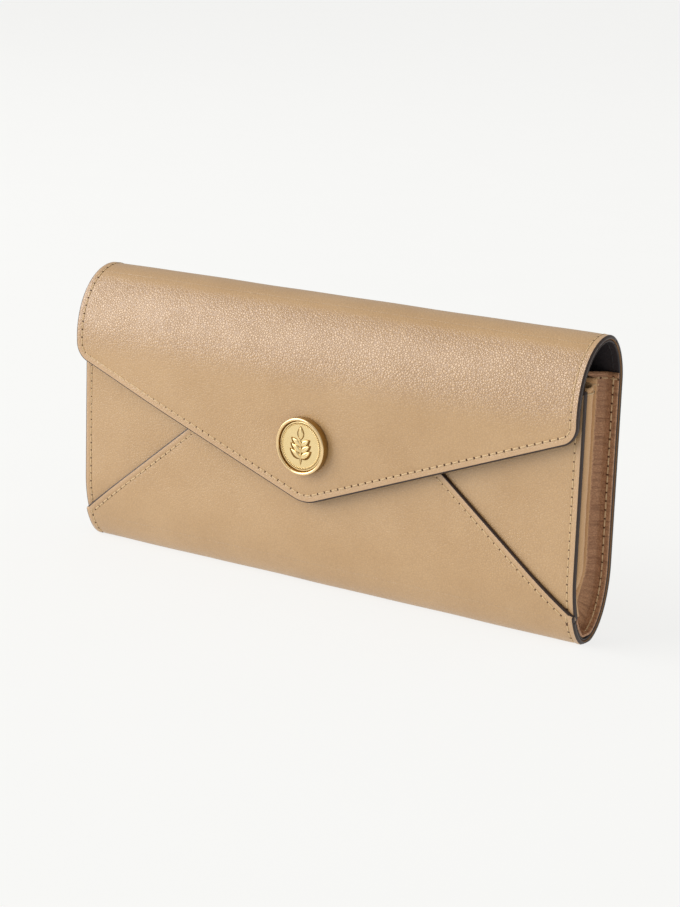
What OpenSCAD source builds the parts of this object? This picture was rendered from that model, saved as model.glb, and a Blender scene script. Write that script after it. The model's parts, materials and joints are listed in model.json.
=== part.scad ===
// Long envelope wallet: one leather shell that wraps from the front over the bottom,
// up the back and over the top into a V-shaped flap, with side gussets, card slots,
// a zipped coin pocket in the middle and a press stud under a metal medallion.
// X runs along the wallet, -Y is the front and +Z is up. The origin is on the flat
// strip that the wallet stands on, under its bottom fold, half way along.

/* [Body] */
// Width from one side edge to the other
body_w = 190; // [184:1:196]
// Height to the top of the closed flap
body_h = 93; // [92.5:0.5:95]
// Depth from the origin to the back's outer face
back_y = 13.4; // [13:0.1:14]
// Depth from the origin to the front's outer face
front_y = 10.6; // [10.4:0.1:10.8]
// Height of the front's top edge
mouth_h = 78; // [76:0.5:78]
// Height at which the rounded bottom meets the straight walls
bottom_h = 22; // [20:0.5:24]
// How far the rounded bottom is flattened by standing
bottom_flat = 0.6; // [0.4:0.05:0.7]

/* [Leather] */
// Thickness of the outer leather
leather_t = 1.2; // [1:0.1:1.3]
// Thickness of the side panels under the front overlay
side_panel_t = 1; // [0.8:0.1:1]
// Thickness of the lining
lining_t = 0.8; // [0.6:0.1:0.8]
// Thickness of the gusset leather
gusset_t = 0.7; // [0.5:0.1:0.7]
// Free gap between pieces that move apart
gap = 0.3; // [0.2:0.1:0.4]

/* [Flap] */
// Depth from the origin to the flap's outer face below the arch
flap_y = 14.4; // [14.2:0.1:14.8]
// Depth from the origin to the flap's outer face at its point
flap_tip_y = 13; // [12.9:0.1:13.4]
// Height where the flap's side and slanting edges would meet
flap_corner_h = 63.5; // [60:0.5:66]
// Height where the two slanting edges would meet
flap_tip_h = 28.6; // [28:0.2:32]
// Radius of the flap's two corners
flap_corner_r = 9; // [6:0.5:10]
// Radius of the flap's point
flap_tip_r = 12; // [8:0.5:14]
// Depth of the arch's crown line behind the origin
crown_y = 3.4; // [3:0.1:4]
// Height where the arch starts on the back
arch_back_h = 78; // [76:0.5:80]
// Height where the arch ends on the front
arch_front_h = 70; // [68:0.5:72]

/* [Front] */
// Height where the envelope seam would meet the side edge
seam_low_h = 9.7; // [9.5:0.1:11]
// Rise of the envelope seam, in degrees
seam_angle = 38.1; // [36:0.1:40]
// Width of the side panel's margin under the overlay
seam_margin = 8; // [6:0.5:10]
// Height of the fold between the front and the bottom
fold_h = 8; // [7.5:0.1:8.5]

/* [Card slots] */
// Height of the lowest slot's edge
slot_low_h = 44; // [42:1:46]
// Step from one slot to the next
slot_pitch = 12; // [11:0.5:12]
// Thickness of a slot strip
slot_t = 0.5; // [0.4:0.1:0.5]
// Room for a card behind each strip
slot_room = 0.1; // [0.05:0.05:0.15]
// Width of a slot strip
slot_w = 178; // [172:1:178]

/* [Coin pocket] */
// Depth of the pocket's front face in front of the origin
pocket_y = 1.3; // [1.2:0.05:1.35]
// Thickness of a pocket wall
pocket_wall_t = 0.8; // [0.6:0.1:0.8]
// Room between the pocket's walls
pocket_room = 4.4; // [4.3:0.1:4.5]
// Height of the pocket walls' top edge
pocket_top_h = 77; // [76:0.5:77]
// Height of the pocket's bottom edge
pocket_low_h = 16; // [15:0.5:18]
// Width of the pocket between its side walls' outer faces
pocket_w = 166; // [160:1:166]

/* [Zip] */
// Width of the closed coil
coil_w = 3.6; // [3.4:0.1:3.8]
// Height of the coil
coil_h = 1.4; // [1.2:0.1:1.6]
// Length of the coil
coil_len = 152; // [146:1:152]
// Length of the slider
slider_len = 8; // [7:0.5:8]
// Width of the slider
slider_w = 5.4; // [5.2:0.1:5.4]
// Length of the pull tab from its hinge
tab_len = 10; // [8:0.5:10]

/* [Press stud] */
// Radius of the medallion
cap_r = 9.2; // [8.8:0.1:9.6]
// Height of the medallion's rim above the flap
cap_h = 2.9; // [2.6:0.1:3.2]
// Height of the press stud above the base
stud_h = 48; // [46.5:0.5:50]
// Radius of the stud's head
stud_head_r = 2.2; // [2:0.1:2.3]

/* [Hidden] */
$fn = 64;
arc_steps = 18;             // straight runs in each round stretch of the section
half_w = body_w / 2;
edge_inset = 0.2;           // how far the gussets stay inside the side edges
gusset_top_h = 81;
flange_w = 3.4;             // width of a gusset's sewn flange
valley_x = half_w - 9.6;    // how far in a gusset folds
crest_x = half_w - 1;       // the gusset's middle fold comes out to here
crest_half_t = 0.9;         // half the thickness of that fold
cap_floor_t = 1.6;          // metal under the medallion's dish
cap_rim_w = 1.5;
face_t = 0.4;               // inlaid face of the medallion
relief_t = 0.35;
post_r = 1.5;
socket_r = 5.2;             // ring spring housing under the flap
socket_t = 0.5;
socket_wall_t = 0.45;
stud_base_r = 4.6;
stud_base_t = 0.25;
washer_t = 0.4;
rivet_play = 0.15;
tape_t = 0.35;
tape_drop = 7;              // how far the zip's tapes reach down the pocket walls
stop_len = 1.6;
brass = "#d9b45f";
leather_colour = "#c6a077";
dark_lining_colour = "#1e1c20";
gusset_colour = "#8a6046";

// ---- the wallet's outer line, as [y, z] points seen from its right end ----

bottom_rise = bottom_h + bottom_flat;
fold_angle = 180 + asin((bottom_h - fold_h) / bottom_rise);
arch_back_a = back_y - crown_y;
arch_back_b = body_h - arch_back_h;
arch_front_a = flap_y + crown_y;
arch_front_b = body_h - arch_front_h;
// The arch has hinges where it has turned through 30, 90 and 150 of its 180 degrees.
hinge1_t = atan(tan(30) * arch_back_b / arch_back_a);
hinge3_t = 180 - atan(tan(30) * arch_front_b / arch_front_a);

function ellipse_line(centre, a, b, from, to) =
    [for (i = [0:arc_steps]) let (t = from + (to - from) * i / arc_steps)
        [centre[0] + a * cos(t), centre[1] + b * sin(t)]];
function arch_back(from, to) =
    ellipse_line([crown_y, arch_back_h], arch_back_a, arch_back_b, from, to);
function arch_front(from, to) =
    ellipse_line([crown_y, arch_front_h], arch_front_a, arch_front_b, from, to);
function bottom_front(from, to) = ellipse_line([0, bottom_h], front_y, bottom_rise, from, to);
function bottom_back(from, to) = ellipse_line([0, bottom_h], back_y, bottom_rise, from, to);
function tail(line) = [for (i = [1:len(line) - 1]) line[i]];
function reversed(line) = [for (i = [len(line) - 1:-1:0]) line[i]];
function unit(v) = v / norm(v);

shell_line = concat(bottom_front(fold_angle, 270), tail(bottom_back(270, 360)),
                    arch_back(0, hinge1_t));
rise_line = arch_back(hinge1_t, 90);
crest_line = arch_front(90, hinge3_t);
flap_line = concat(arch_front(hinge3_t, 180), [[-flap_tip_y, flap_tip_h]]);
front_line = concat([[-front_y, mouth_h]], bottom_front(180, fold_angle));

// The outward direction at a point of a line that runs round the wallet with the
// inside on its left, and that line moved inwards by d.
function outward(line, i) =
    let (d = unit(line[min(i + 1, len(line) - 1)] - line[max(i - 1, 0)])) [d[1], -d[0]];
function moved(line, d) = [for (i = [0:len(line) - 1]) line[i] - d * outward(line, i)];

// Turns a [y, z] section so that it runs along X, centred on x = 0.
module along_x(length) {
    rotate([90, 0, 90]) translate([0, 0, -length / 2]) linear_extrude(length) children();
}

// Turns an [x, z] outline so that it runs along Y, from y0 to y1.
module along_y(y0, y1) {
    translate([0, y1, 0]) rotate([90, 0, 0]) linear_extrude(y1 - y0) children();
}

// Leaves half a gap at one end of a sheet, where it folds on its neighbour.
module end_cut(line, i) {
    n = outward(line, i);
    translate([0, line[i][0], line[i][1]]) rotate([atan2(n[1], n[0]) - 90, 0, 0])
        cube([body_w + 1, gap, 8], center = true);
}

// A sheet that follows the line between two depths under it.
module sheet(line, outer_d, inner_d, cut_start = true, cut_end = true) {
    difference() {
        along_x(body_w) polygon(concat(moved(line, outer_d), reversed(moved(line, inner_d))));
        if (cut_start) end_cut(line, 0);
        if (cut_end) end_cut(line, len(line) - 1);
    }
}

module mirrored_if(left) {
    mirror([left ? 1 : 0, 0, 0]) children();
}

// ---- back, on the root body ----

lining_d = leather_t + lining_t;
back_in = back_y - lining_d;
front_lining_d = leather_t + side_panel_t;
front_in = -front_y + front_lining_d + lining_t;

module back_panel() {
    color(leather_colour) intersection() {
        sheet(shell_line, 0, leather_t);
        translate([-body_w, -body_w / 2, 0]) cube([2 * body_w, body_w, 2 * body_h]);
    }
}

module back_lining() {
    color(dark_lining_colour) sheet(shell_line, leather_t, lining_d);
}

// ---- card slots: row 0 is the lowest strip and lies furthest from its wall ----

function slot_h(row) = slot_low_h + row * slot_pitch;
function slot_depth(row) = (2 - row) * (slot_t + slot_room) + slot_room;
slots_d = slot_depth(0) + slot_t;

module slot_strip(y0, row) {
    color("#c39b6f") translate([-slot_w / 2, y0, bottom_h])
        cube([slot_w, slot_t, slot_h(row) - bottom_h]);
}

module back_card_slot(row) {
    slot_strip(back_in - slot_depth(row) - slot_t, row);
}

module front_card_slot(row) {
    slot_strip(front_in + slot_depth(row), row);
}

// ---- gussets: a flange on each wall, folds inwards, and a fold out to the coin pocket ----

pocket_front_in = -pocket_y + pocket_wall_t;
pocket_back_in = pocket_front_in + pocket_room;
pocket_back_out = pocket_back_in + pocket_wall_t;
crest_y = -pocket_y + pocket_wall_t / 2;
valley_rear_y = 3.9;
valley_front_y = -5;
flange_x = half_w - edge_inset - flange_w;

module gusset_leg(line) {
    color(gusset_colour) translate([0, 0, bottom_h]) linear_extrude(gusset_top_h - bottom_h)
        polygon(concat(line, reversed(moved(line, gusset_t))));
}

module gusset_rear(left) {
    wall_y = back_in - gap;
    mirrored_if(left) gusset_leg([[half_w - edge_inset, wall_y], [flange_x, wall_y],
        [flange_x - 1.2, back_in - slots_d - 0.8], [valley_x, valley_rear_y]]);
}

module gusset_front(left) {
    mirrored_if(left) gusset_leg([[valley_x, valley_front_y],
        [flange_x - 1.2, valley_front_y - 0.6], [flange_x, front_in],
        [half_w - edge_inset, front_in]]);
}

// The middle fold, which is sewn to the wing of the coin pocket's front wall.
module gusset_crest(left) {
    rear_y = valley_rear_y - 0.9;
    front_y1 = valley_front_y + gusset_t + 0.4;
    color("#b98f68") mirrored_if(left) translate([0, 0, bottom_h])
        linear_extrude(gusset_top_h - bottom_h) polygon([
            [valley_x, rear_y], [crest_x, crest_y + crest_half_t],
            [crest_x, crest_y - crest_half_t], [valley_x, front_y1],
            [valley_x, front_y1 + gusset_t], [crest_x - 1.6, crest_y],
            [valley_x, rear_y - gusset_t]]);
}

// Closes the rounded bottom at each side.
module gusset_base(left) {
    color(gusset_colour) mirrored_if(left) translate([half_w - 2, 0, 0]) rotate([90, 0, 90])
        linear_extrude(gusset_t) intersection() {
            polygon(concat(moved(concat(bottom_front(180, 270), tail(bottom_back(270, 360))),
                                 front_lining_d + lining_t), [[back_y, bottom_h]]));
            translate([-front_y, 0]) square([front_y + back_y, bottom_h - gap]);
        }
}

// ---- flap ----

module flap_rise_leather() { color(leather_colour) sheet(rise_line, 0, leather_t); }
module flap_rise_lining() { color(dark_lining_colour) sheet(rise_line, leather_t, lining_d); }
module flap_crest_leather() { color(leather_colour) sheet(crest_line, 0, leather_t); }
module flap_crest_lining() { color(dark_lining_colour) sheet(crest_line, leather_t, lining_d); }

// A convex outline whose [point, radius] corners are rounded.
module rounded_outline(corners) {
    n = len(corners);
    polygon([for (i = [0:n - 1])
        let (p = corners[i][0], r = corners[i][1],
             a = unit(corners[(i + n - 1) % n][0] - p), b = unit(corners[(i + 1) % n][0] - p),
             half = acos(a * b) / 2, centre = p + unit(a + b) * r / sin(half),
             v = p + a * r / tan(half) - centre,
             side = sign(a[1] * b[0] - a[0] * b[1]))
        for (k = [0:arc_steps])
            let (t = side * (180 - 2 * half) * k / arc_steps)
                centre + [v[0] * cos(t) - v[1] * sin(t), v[0] * sin(t) + v[1] * cos(t)]]);
}

flap_outline = [
    [[-half_w, body_h], 0.1], [[-half_w, flap_corner_h], flap_corner_r],
    [[0, flap_tip_h], flap_tip_r],
    [[half_w, flap_corner_h], flap_corner_r], [[half_w, body_h], 0.1]
];

module flap_sheet(outer_d, inner_d, hole_r) {
    difference() {
        intersection() {
            sheet(flap_line, outer_d, inner_d, cut_end = false);
            along_y(-2 * flap_y, 0) rounded_outline(flap_outline);
        }
        on_flap() cylinder(r = hole_r, h = 4 * leather_t, center = true);
    }
}

module flap_leather() {
    color(leather_colour) flap_sheet(0, leather_t, post_r + rivet_play);
}

module flap_lining() {
    color(dark_lining_colour) flap_sheet(leather_t, lining_d, socket_in_r + socket_wall_t + rivet_play);
}

// ---- press stud and medallion ----

flap_rise = (flap_y - flap_tip_y) / (arch_front_h - flap_tip_h);
flap_stud_y = -flap_tip_y - flap_rise * (stud_h - flap_tip_h);
socket_in_r = stud_head_r + 0.45;

// Stands a piece that rises along +Z on the flap's outer face, or on the front's.
module on_flap() {
    translate([0, flap_stud_y, stud_h]) rotate([90 + atan(flap_rise), 0, 0]) children();
}
module on_front() {
    translate([0, -front_y, stud_h]) rotate([90, 0, 0]) children();
}

module medallion_cup() {
    in_r = cap_r - cap_rim_w;
    color(brass) on_flap() rotate_extrude() polygon([
        [0, 0], [cap_r - 0.3, 0], [cap_r, 0.4], [cap_r, cap_h - 0.5], [cap_r - 0.25, cap_h - 0.1],
        [cap_r - 0.6, cap_h], [in_r + 0.35, cap_h - 0.1], [in_r, cap_h - 0.5],
        [in_r, cap_floor_t], [0, cap_floor_t]]);
}

module medallion_face() {
    color(brass) on_flap() translate([0, 0, cap_floor_t])
        cylinder(r = cap_r - cap_rim_w - 0.05, h = face_t);
}

// A sprig: a stem with pairs of leaves and one leaf at its top.
module leaf(length, width) {
    r = (length * length + width * width) / (4 * width);
    intersection() {
        translate([r - width / 2, length / 2]) circle(r);
        translate([width / 2 - r, length / 2]) circle(r);
    }
}

module medallion_relief() {
    color("#a97f3c") on_flap() translate([0, 0, cap_floor_t + face_t]) linear_extrude(relief_t) {
        translate([-0.2, -5.2]) square([0.4, 7.6]);
        translate([0, 2]) leaf(3.6, 1.7);
        for (row = [0:2]) for (side = [-1, 1])
            translate([0, 1.8 * row - 3.6]) rotate(-52 * side) leaf(3.9 - 0.3 * row, 1.6);
    }
}

module cap_post() {
    color(brass) on_flap() translate([0, 0, -leather_t]) cylinder(r = post_r, h = leather_t);
}

module snap_socket() {
    out_r = socket_in_r + socket_wall_t;
    color("#c8b27a") on_flap() rotate_extrude() polygon([
        [0, -leather_t], [out_r, -leather_t], [out_r, -lining_d], [socket_r, -lining_d],
        [socket_r, -lining_d - socket_t + 0.15], [socket_r - 0.15, -lining_d - socket_t],
        [socket_in_r, -lining_d - socket_t], [socket_in_r, -leather_t - 0.1],
        [0, -leather_t - 0.1]]);
}

module snap_stud() {
    h = 1.45;
    color("#c8b27a") on_front() rotate_extrude() polygon([
        [0, -leather_t], [post_r, -leather_t], [post_r, 0], [stud_base_r, 0],
        [stud_base_r - 0.15, stud_base_t], [stud_head_r - 0.5, stud_base_t],
        [stud_head_r - 0.5, h - 0.85], [stud_head_r, h - 0.55], [stud_head_r - 0.1, h - 0.2],
        [stud_head_r - 0.5, h], [0, h]]);
}

module snap_stud_washer() {
    color("#c8b27a") on_front() translate([0, 0, -leather_t - washer_t])
        cylinder(r = stud_base_r, h = washer_t);
}

// ---- front ----

seam_rise = tan(seam_angle);
apex_h = seam_low_h + half_w * seam_rise;

module front_overlay() {
    color(leather_colour) difference() {
        intersection() {
            sheet(front_line, 0, leather_t, cut_start = false);
            along_y(-2 * front_y, 0) polygon([[-half_w, 0], [half_w, 0], [half_w, seam_low_h],
                                              [0, apex_h], [-half_w, seam_low_h]]);
        }
        on_front() cylinder(r = post_r + rivet_play, h = 4 * leather_t, center = true);
    }
}

// The panel that shows above the seam on one side and runs on under the overlay.
module front_side_panel(left) {
    margin_h = seam_margin / cos(seam_angle);
    color("#c19a70") mirrored_if(left) intersection() {
        sheet(front_line, leather_t, front_lining_d, cut_start = false);
        along_y(-2 * front_y, 0) polygon([
            [half_w, seam_low_h - margin_h], [half_w, mouth_h],
            [gap, mouth_h], [gap, apex_h - margin_h]]);
    }
}

module front_lining() {
    color(dark_lining_colour)
        sheet(front_line, front_lining_d, front_lining_d + lining_t, cut_start = false);
}

// ---- coin pocket ----

module pocket_wall(y0, width) {
    color("#b58c62") translate([-width / 2, y0, pocket_low_h])
        cube([width, pocket_wall_t, pocket_top_h - pocket_low_h]);
}

module pocket_front_wall() { pocket_wall(-pocket_y, 2 * (crest_x - 3.5)); }
module pocket_back_wall() { pocket_wall(pocket_back_in, pocket_w); }

module pocket_bottom() {
    color("#b58c62") translate([-pocket_w / 2, pocket_front_in, pocket_low_h])
        cube([pocket_w, pocket_room, pocket_wall_t]);
}

module pocket_side(left) {
    color("#b58c62") mirrored_if(left)
        translate([pocket_w / 2 - pocket_wall_t, pocket_front_in, pocket_low_h + pocket_wall_t])
            cube([pocket_wall_t, pocket_room, pocket_top_h - pocket_low_h - pocket_wall_t]);
}

// ---- zip, along the pocket's mouth ----

zip_y = pocket_front_in + pocket_room / 2;
coil_top_h = pocket_top_h + 0.2;
coil_low_h = coil_top_h - coil_h;
tape_len = pocket_w - 2 * pocket_wall_t;
slider_x = coil_len / 2 - slider_len / 2 - stop_len;
slider_plate_t = 0.8;
slider_play = 0.15;
bridge_h = 1.9;
bar_r = 0.45;
tab_w = 3.7;
tab_t = 0.6;
arm_w = 0.7;
tab_h = coil_top_h + slider_play + slider_plate_t + bridge_h / 2;

// One tape: down the inside of a wall, then in to the coil.
module zip_tape(back) {
    room = pocket_room / 2 - coil_w / 2;
    color("#3a2f2a") translate([-tape_len / 2, zip_y, 0]) mirror([0, back ? 0 : 1, 0])
        translate([0, coil_w / 2, 0]) {
            translate([0, room - tape_t, coil_low_h - tape_drop]) cube([tape_len, tape_t, tape_drop]);
            translate([0, -coil_w / 4, coil_low_h - tape_t])
                cube([tape_len, room + coil_w / 4 - tape_t, tape_t]);
        }
}

module zip_coil(back) {
    color(brass) translate([-coil_len / 2, zip_y, coil_low_h]) mirror([0, back ? 0 : 1, 0])
        cube([coil_len, coil_w / 2, coil_h]);
}

module zip_end_stops() {
    color(brass) for (side = [-1, 1])
        translate([side * (coil_len + stop_len) / 2 - stop_len / 2, zip_y - coil_w / 2, coil_low_h])
            cube([stop_len, coil_w, coil_h]);
}

// Top plate with a bridge that runs along the zip and holds the pull tab's crossbar.
module zip_slider() {
    color(brass) translate([slider_x, zip_y, coil_top_h + slider_play]) {
        translate([-slider_len / 2, -slider_w / 2, 0]) cube([slider_len, slider_w, slider_plate_t]);
        for (side = [-1, 1]) translate([side * 1.9 - 0.3, -0.7, slider_plate_t])
            cube([0.6, 1.4, bridge_h]);
        translate([-2.2, -0.7, slider_plate_t + bridge_h]) cube([4.4, 1.4, 0.6]);
    }
}

// A crossbar under the bridge, an arm on each side of it, and a tab with a hole.
module zip_pull_tab() {
    color(brass) translate([slider_x, zip_y, tab_h]) {
        rotate([90, 0, 0]) cylinder(r = bar_r, h = tab_w, center = true);
        difference() {
            translate([-tab_len, -tab_w / 2, -tab_t / 2]) cube([tab_len, tab_w, tab_t]);
            translate([-3.4, -tab_w / 2 + arm_w, -tab_t]) cube([4, tab_w - 2 * arm_w, 2 * tab_t]);
            translate([-tab_len + 1.8, 0, 0]) cylinder(r = 0.8, h = 3, center = true);
        }
    }
}

back_panel();
back_lining();
back_card_slot(0);  // back_card_slot_bottom
back_card_slot(1);  // back_card_slot_middle
back_card_slot(2);  // back_card_slot_top
gusset_rear(true);  // gusset_rear_left
gusset_rear(false);  // gusset_rear_right
gusset_base(true);  // gusset_base_left
gusset_base(false);  // gusset_base_right
flap_rise_leather();
flap_rise_lining();
flap_crest_leather();
flap_crest_lining();
flap_leather();
flap_lining();
medallion_cup();
medallion_face();
medallion_relief();
cap_post();
snap_socket();
front_overlay();
front_side_panel(true);  // front_side_panel_left
front_side_panel(false);  // front_side_panel_right
front_lining();
front_card_slot(0);  // front_card_slot_bottom
front_card_slot(1);  // front_card_slot_middle
front_card_slot(2);  // front_card_slot_top
gusset_front(true);  // gusset_front_left
gusset_front(false);  // gusset_front_right
snap_stud();
snap_stud_washer();
pocket_front_wall();
pocket_back_wall();
pocket_bottom();
pocket_side(true);  // pocket_side_left
pocket_side(false);  // pocket_side_right
gusset_crest(true);  // gusset_crest_left
gusset_crest(false);  // gusset_crest_right
zip_tape(false);  // zip_tape_front
zip_tape(true);  // zip_tape_back
zip_coil(false);  // zip_coil_front
zip_coil(true);  // zip_coil_back
zip_end_stops();
zip_slider();
zip_pull_tab();
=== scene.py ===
"""A long envelope wallet in pebbled tan calf, standing on its bottom fold."""
import json
import math

import bmesh
import bpy
import numpy as np
from mathutils import Matrix, Vector
from mathutils.geometry import delaunay_2d_cdt


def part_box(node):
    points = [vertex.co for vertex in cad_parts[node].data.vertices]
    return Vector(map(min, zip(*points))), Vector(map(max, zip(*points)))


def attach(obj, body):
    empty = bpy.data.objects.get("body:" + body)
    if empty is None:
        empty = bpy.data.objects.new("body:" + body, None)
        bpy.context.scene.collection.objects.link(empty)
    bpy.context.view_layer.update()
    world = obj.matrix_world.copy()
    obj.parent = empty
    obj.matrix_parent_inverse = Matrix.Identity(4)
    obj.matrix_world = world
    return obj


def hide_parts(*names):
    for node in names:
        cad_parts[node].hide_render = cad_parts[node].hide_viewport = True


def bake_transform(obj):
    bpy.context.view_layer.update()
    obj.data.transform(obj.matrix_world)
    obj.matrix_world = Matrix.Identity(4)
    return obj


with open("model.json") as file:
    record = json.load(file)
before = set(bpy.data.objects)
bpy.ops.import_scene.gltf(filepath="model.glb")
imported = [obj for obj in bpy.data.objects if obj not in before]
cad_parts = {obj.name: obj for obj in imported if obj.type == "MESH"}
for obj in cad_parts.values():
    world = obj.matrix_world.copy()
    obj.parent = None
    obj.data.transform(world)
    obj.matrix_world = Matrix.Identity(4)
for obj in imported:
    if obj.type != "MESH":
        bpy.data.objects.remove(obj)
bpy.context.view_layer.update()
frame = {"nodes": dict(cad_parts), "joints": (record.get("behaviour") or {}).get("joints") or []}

# ---- measures, in millimetres ----

MM = 0.001


def corner(node, which):
    """A CAD node's lowest (0) or highest (1) corner, in millimetres."""
    return np.array(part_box(node)[which]) / MM


def hinge(name):
    """The y and z of a hinge's axis, in millimetres."""
    joint = next(j for j in frame["joints"] if j["name"] == name)
    return np.array(joint["pos_m"][1:]) / MM


half_w = corner("back_panel", 1)[0]
back_y = corner("back_panel", 1)[1]
front_y = -corner("front_overlay", 0)[1]
flap_y = -corner("flap_leather", 0)[1]
top_z = corner("flap_crest_leather", 1)[2]
mouth_z = corner("front_overlay", 1)[2]
gusset_top_z = corner("gusset_rear_right", 1)[2]
fold = hinge("front_lean")
crown_y = hinge("flap_unroll_top")[0]
stud_z = (corner("snap_stud", 0)[2] + corner("snap_stud", 1)[2]) / 2

bottom_z = 22.0          # the rounded bottom meets the straight walls here
bottom_flat = 0.6        # how far it is flattened by standing
arch_back_z = 78.0
arch_front_z = 70.0
flap_tip_y = 13.0
flap_tip_z = 28.6        # where the flap's slanting edges would meet
flap_corner_z = 63.5     # where its side and slanting edges would meet
flap_corner_r = 6.5
flap_tip_r = 12.0
seam_low_z = 9.7         # the envelope seam meets the side edge
seam_rise = math.tan(math.radians(38.1))
seam_margin = 8.0

leather_t = 1.2
side_panel_t = 1.0
lining_t = 0.8
gusset_t = 0.7

stitch_in = 2.4          # from a painted edge to its row of stitches
stitch_pitch = 2.7
thread_w = 0.5
hole_w = 0.8
groove_d = 0.1           # how deep a row of stitches pulls the leather in
groove_w = 0.5
far_mm = 12.0            # as far from a painted edge as its burnish can matter

# ---- lines that the leather follows ----


class Line:
    """A smooth run of [y, z] points, measured along its length, with an outward side."""

    def __init__(self, points, outward=1):
        self.points = np.array(points, float)
        steps = np.diff(self.points, axis=0)
        keep = np.concatenate([[True], np.hypot(*steps.T) > 1e-9])
        self.points = self.points[keep]
        steps = np.diff(self.points, axis=0)
        self.s = np.concatenate([[0], np.cumsum(np.hypot(*steps.T))])
        along = np.gradient(self.points, self.s, axis=0)
        along /= np.hypot(*along.T)[:, None]
        self.along = along
        self.out = outward * np.stack([along[:, 1], -along[:, 0]], 1)

    def at(self, s, depth=0.0):
        """[y, z] at a length along the line and a depth under it."""
        p = self._mix(self.points, s)
        return p - np.asarray(depth)[..., None] * self.normal(s)

    def normal(self, s):
        n = self._mix(self.out, s)
        return n / np.hypot(n[..., 0], n[..., 1])[..., None]

    def direction(self, s):
        return self._mix(self.along, s)

    def _mix(self, values, s):
        return np.stack([np.interp(s, self.s, values[:, i]) for i in (0, 1)], -1)

    def nearest(self, point):
        """Length along the line to its closest point."""
        return self.s[np.argmin(np.hypot(*(self.points - np.array(point)).T))]


def arc(centre, a, b, start, end, count=400):
    """Points along part of an ellipse, its angles in degrees."""
    t = np.radians(np.linspace(start, end, count))
    return np.stack([centre[0] + a * np.cos(t), centre[1] + b * np.sin(t)], 1)


bottom_rise = bottom_z + bottom_flat
fold_angle = 180 + math.degrees(math.asin((bottom_z - fold[1]) / bottom_rise))
flap_slope = (flap_y - flap_tip_y) / (arch_front_z - flap_tip_z)


def straight(start, end, count=300):
    return np.linspace(start, end, count)


shell_line = Line(np.concatenate([
    arc((0, bottom_z), front_y, bottom_rise, fold_angle, 270),
    arc((0, bottom_z), back_y, bottom_rise, 270, 360),
    straight((back_y, bottom_z), (back_y, arch_back_z)),
    arc((crown_y, arch_back_z), back_y - crown_y, top_z - arch_back_z, 0, 90),
    arc((crown_y, arch_front_z), flap_y + crown_y, top_z - arch_front_z, 90, 180),
    straight((-flap_y, arch_front_z), (-flap_tip_y, flap_tip_z)),
]))
front_line = Line(np.concatenate([
    arc((0, bottom_z), front_y, bottom_rise, fold_angle, 180),
    straight((-front_y, bottom_z), (-front_y, mouth_z)),
]), outward=-1)

s_rise = shell_line.nearest(hinge("flap_open"))
s_crown = shell_line.nearest(hinge("flap_unroll_top"))
s_arch_end = shell_line.nearest((-flap_y, arch_front_z))
s_front = shell_line.nearest(hinge("flap_unroll_front"))
s_flap_start = s_crown + 7.5      # where the roll's leather ends and the flap's begins
s_roll_start = (s_rise + s_crown) / 2


def front_s(z):
    """Length along the front line at a height."""
    return float(np.interp(z, front_line.points[:, 1], front_line.s))


def flap_s(z):
    """Length along the shell line at a height on the flap's side of the crown."""
    low = shell_line.s > s_crown
    return float(np.interp(-z, -shell_line.points[low, 1], shell_line.s[low]))


# ---- meshes ----


def new_mesh(name, vertices, faces, materials, slots=None, uvs=None, smooth=True):
    """A mesh object from millimetre vertices, in the scene and at the origin."""
    mesh = bpy.data.meshes.new(name)
    mesh.from_pydata([tuple(v) for v in np.asarray(vertices) * MM], [], [tuple(f) for f in faces])
    for material in materials:
        mesh.materials.append(material)
    if slots is not None:
        mesh.polygons.foreach_set("material_index", np.asarray(slots, np.int32))
    mesh.polygons.foreach_set("use_smooth", np.broadcast_to(smooth, len(mesh.polygons)))
    if uvs is not None:
        layer = mesh.uv_layers.new(name="leather")
        index = np.empty(len(mesh.loops), np.int32)
        mesh.loops.foreach_get("vertex_index", index)
        layer.data.foreach_set("uv", (np.asarray(uvs)[index] * MM).astype(np.float32).ravel())
    mesh.update()
    piece = bpy.data.objects.new(name, mesh)
    bpy.context.scene.collection.objects.link(piece)
    return piece


def fitted(piece, body, slot, *nodes):
    """Puts a piece on a body, in the place of some CAD nodes; slot is not used."""
    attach(piece, body)
    if nodes:
        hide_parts(*nodes)


def add_number(piece, name, values):
    """Keeps one number per vertex with the mesh, for its material to read."""
    piece.data.attributes.new(name, "FLOAT", "POINT").data.foreach_set(
        "value", np.asarray(values, np.float32))


def rounded(corners, radii, step=0.5):
    """A convex outline with rounded corners; each point has the index of the side it starts."""
    corners = [np.array(c, float) for c in corners]
    count = len(corners)
    points, sides = [], []
    for i, (p, r) in enumerate(zip(corners, radii)):
        if r == 0:
            points.append(p)
            sides.append(i)
            continue
        a = corners[i - 1] - p
        b = corners[(i + 1) % count] - p
        a, b = a / np.hypot(*a), b / np.hypot(*b)
        half = math.acos(np.clip(a @ b, -1, 1)) / 2
        middle = a + b
        centre = p + middle / np.hypot(*middle) * r / math.sin(half)
        turn = math.pi - 2 * half
        arm = p + a * r / math.tan(half) - centre
        sign = 1 if a[1] * b[0] - a[0] * b[1] > 0 else -1
        steps = max(2, int(turn * r / step))
        for k in range(steps + 1):
            t = sign * turn * k / steps
            points.append(centre + [arm[0] * math.cos(t) - arm[1] * math.sin(t),
                                    arm[0] * math.sin(t) + arm[1] * math.cos(t)])
            sides.append(i if k == steps else (i - 1) % count if k < steps / 2 else i)
    return np.array(points), sides


def distance_to(points, starts, ends):
    """Shortest distance from each point to a set of segments."""
    best = np.full(len(points), 1e9)
    for a, b in zip(starts, ends):
        ab = b - a
        t = np.clip(((points - a) @ ab) / (ab @ ab), 0, 1)
        best = np.minimum(best, np.hypot(*(points - a - t[:, None] * ab).T))
    return best


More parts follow.
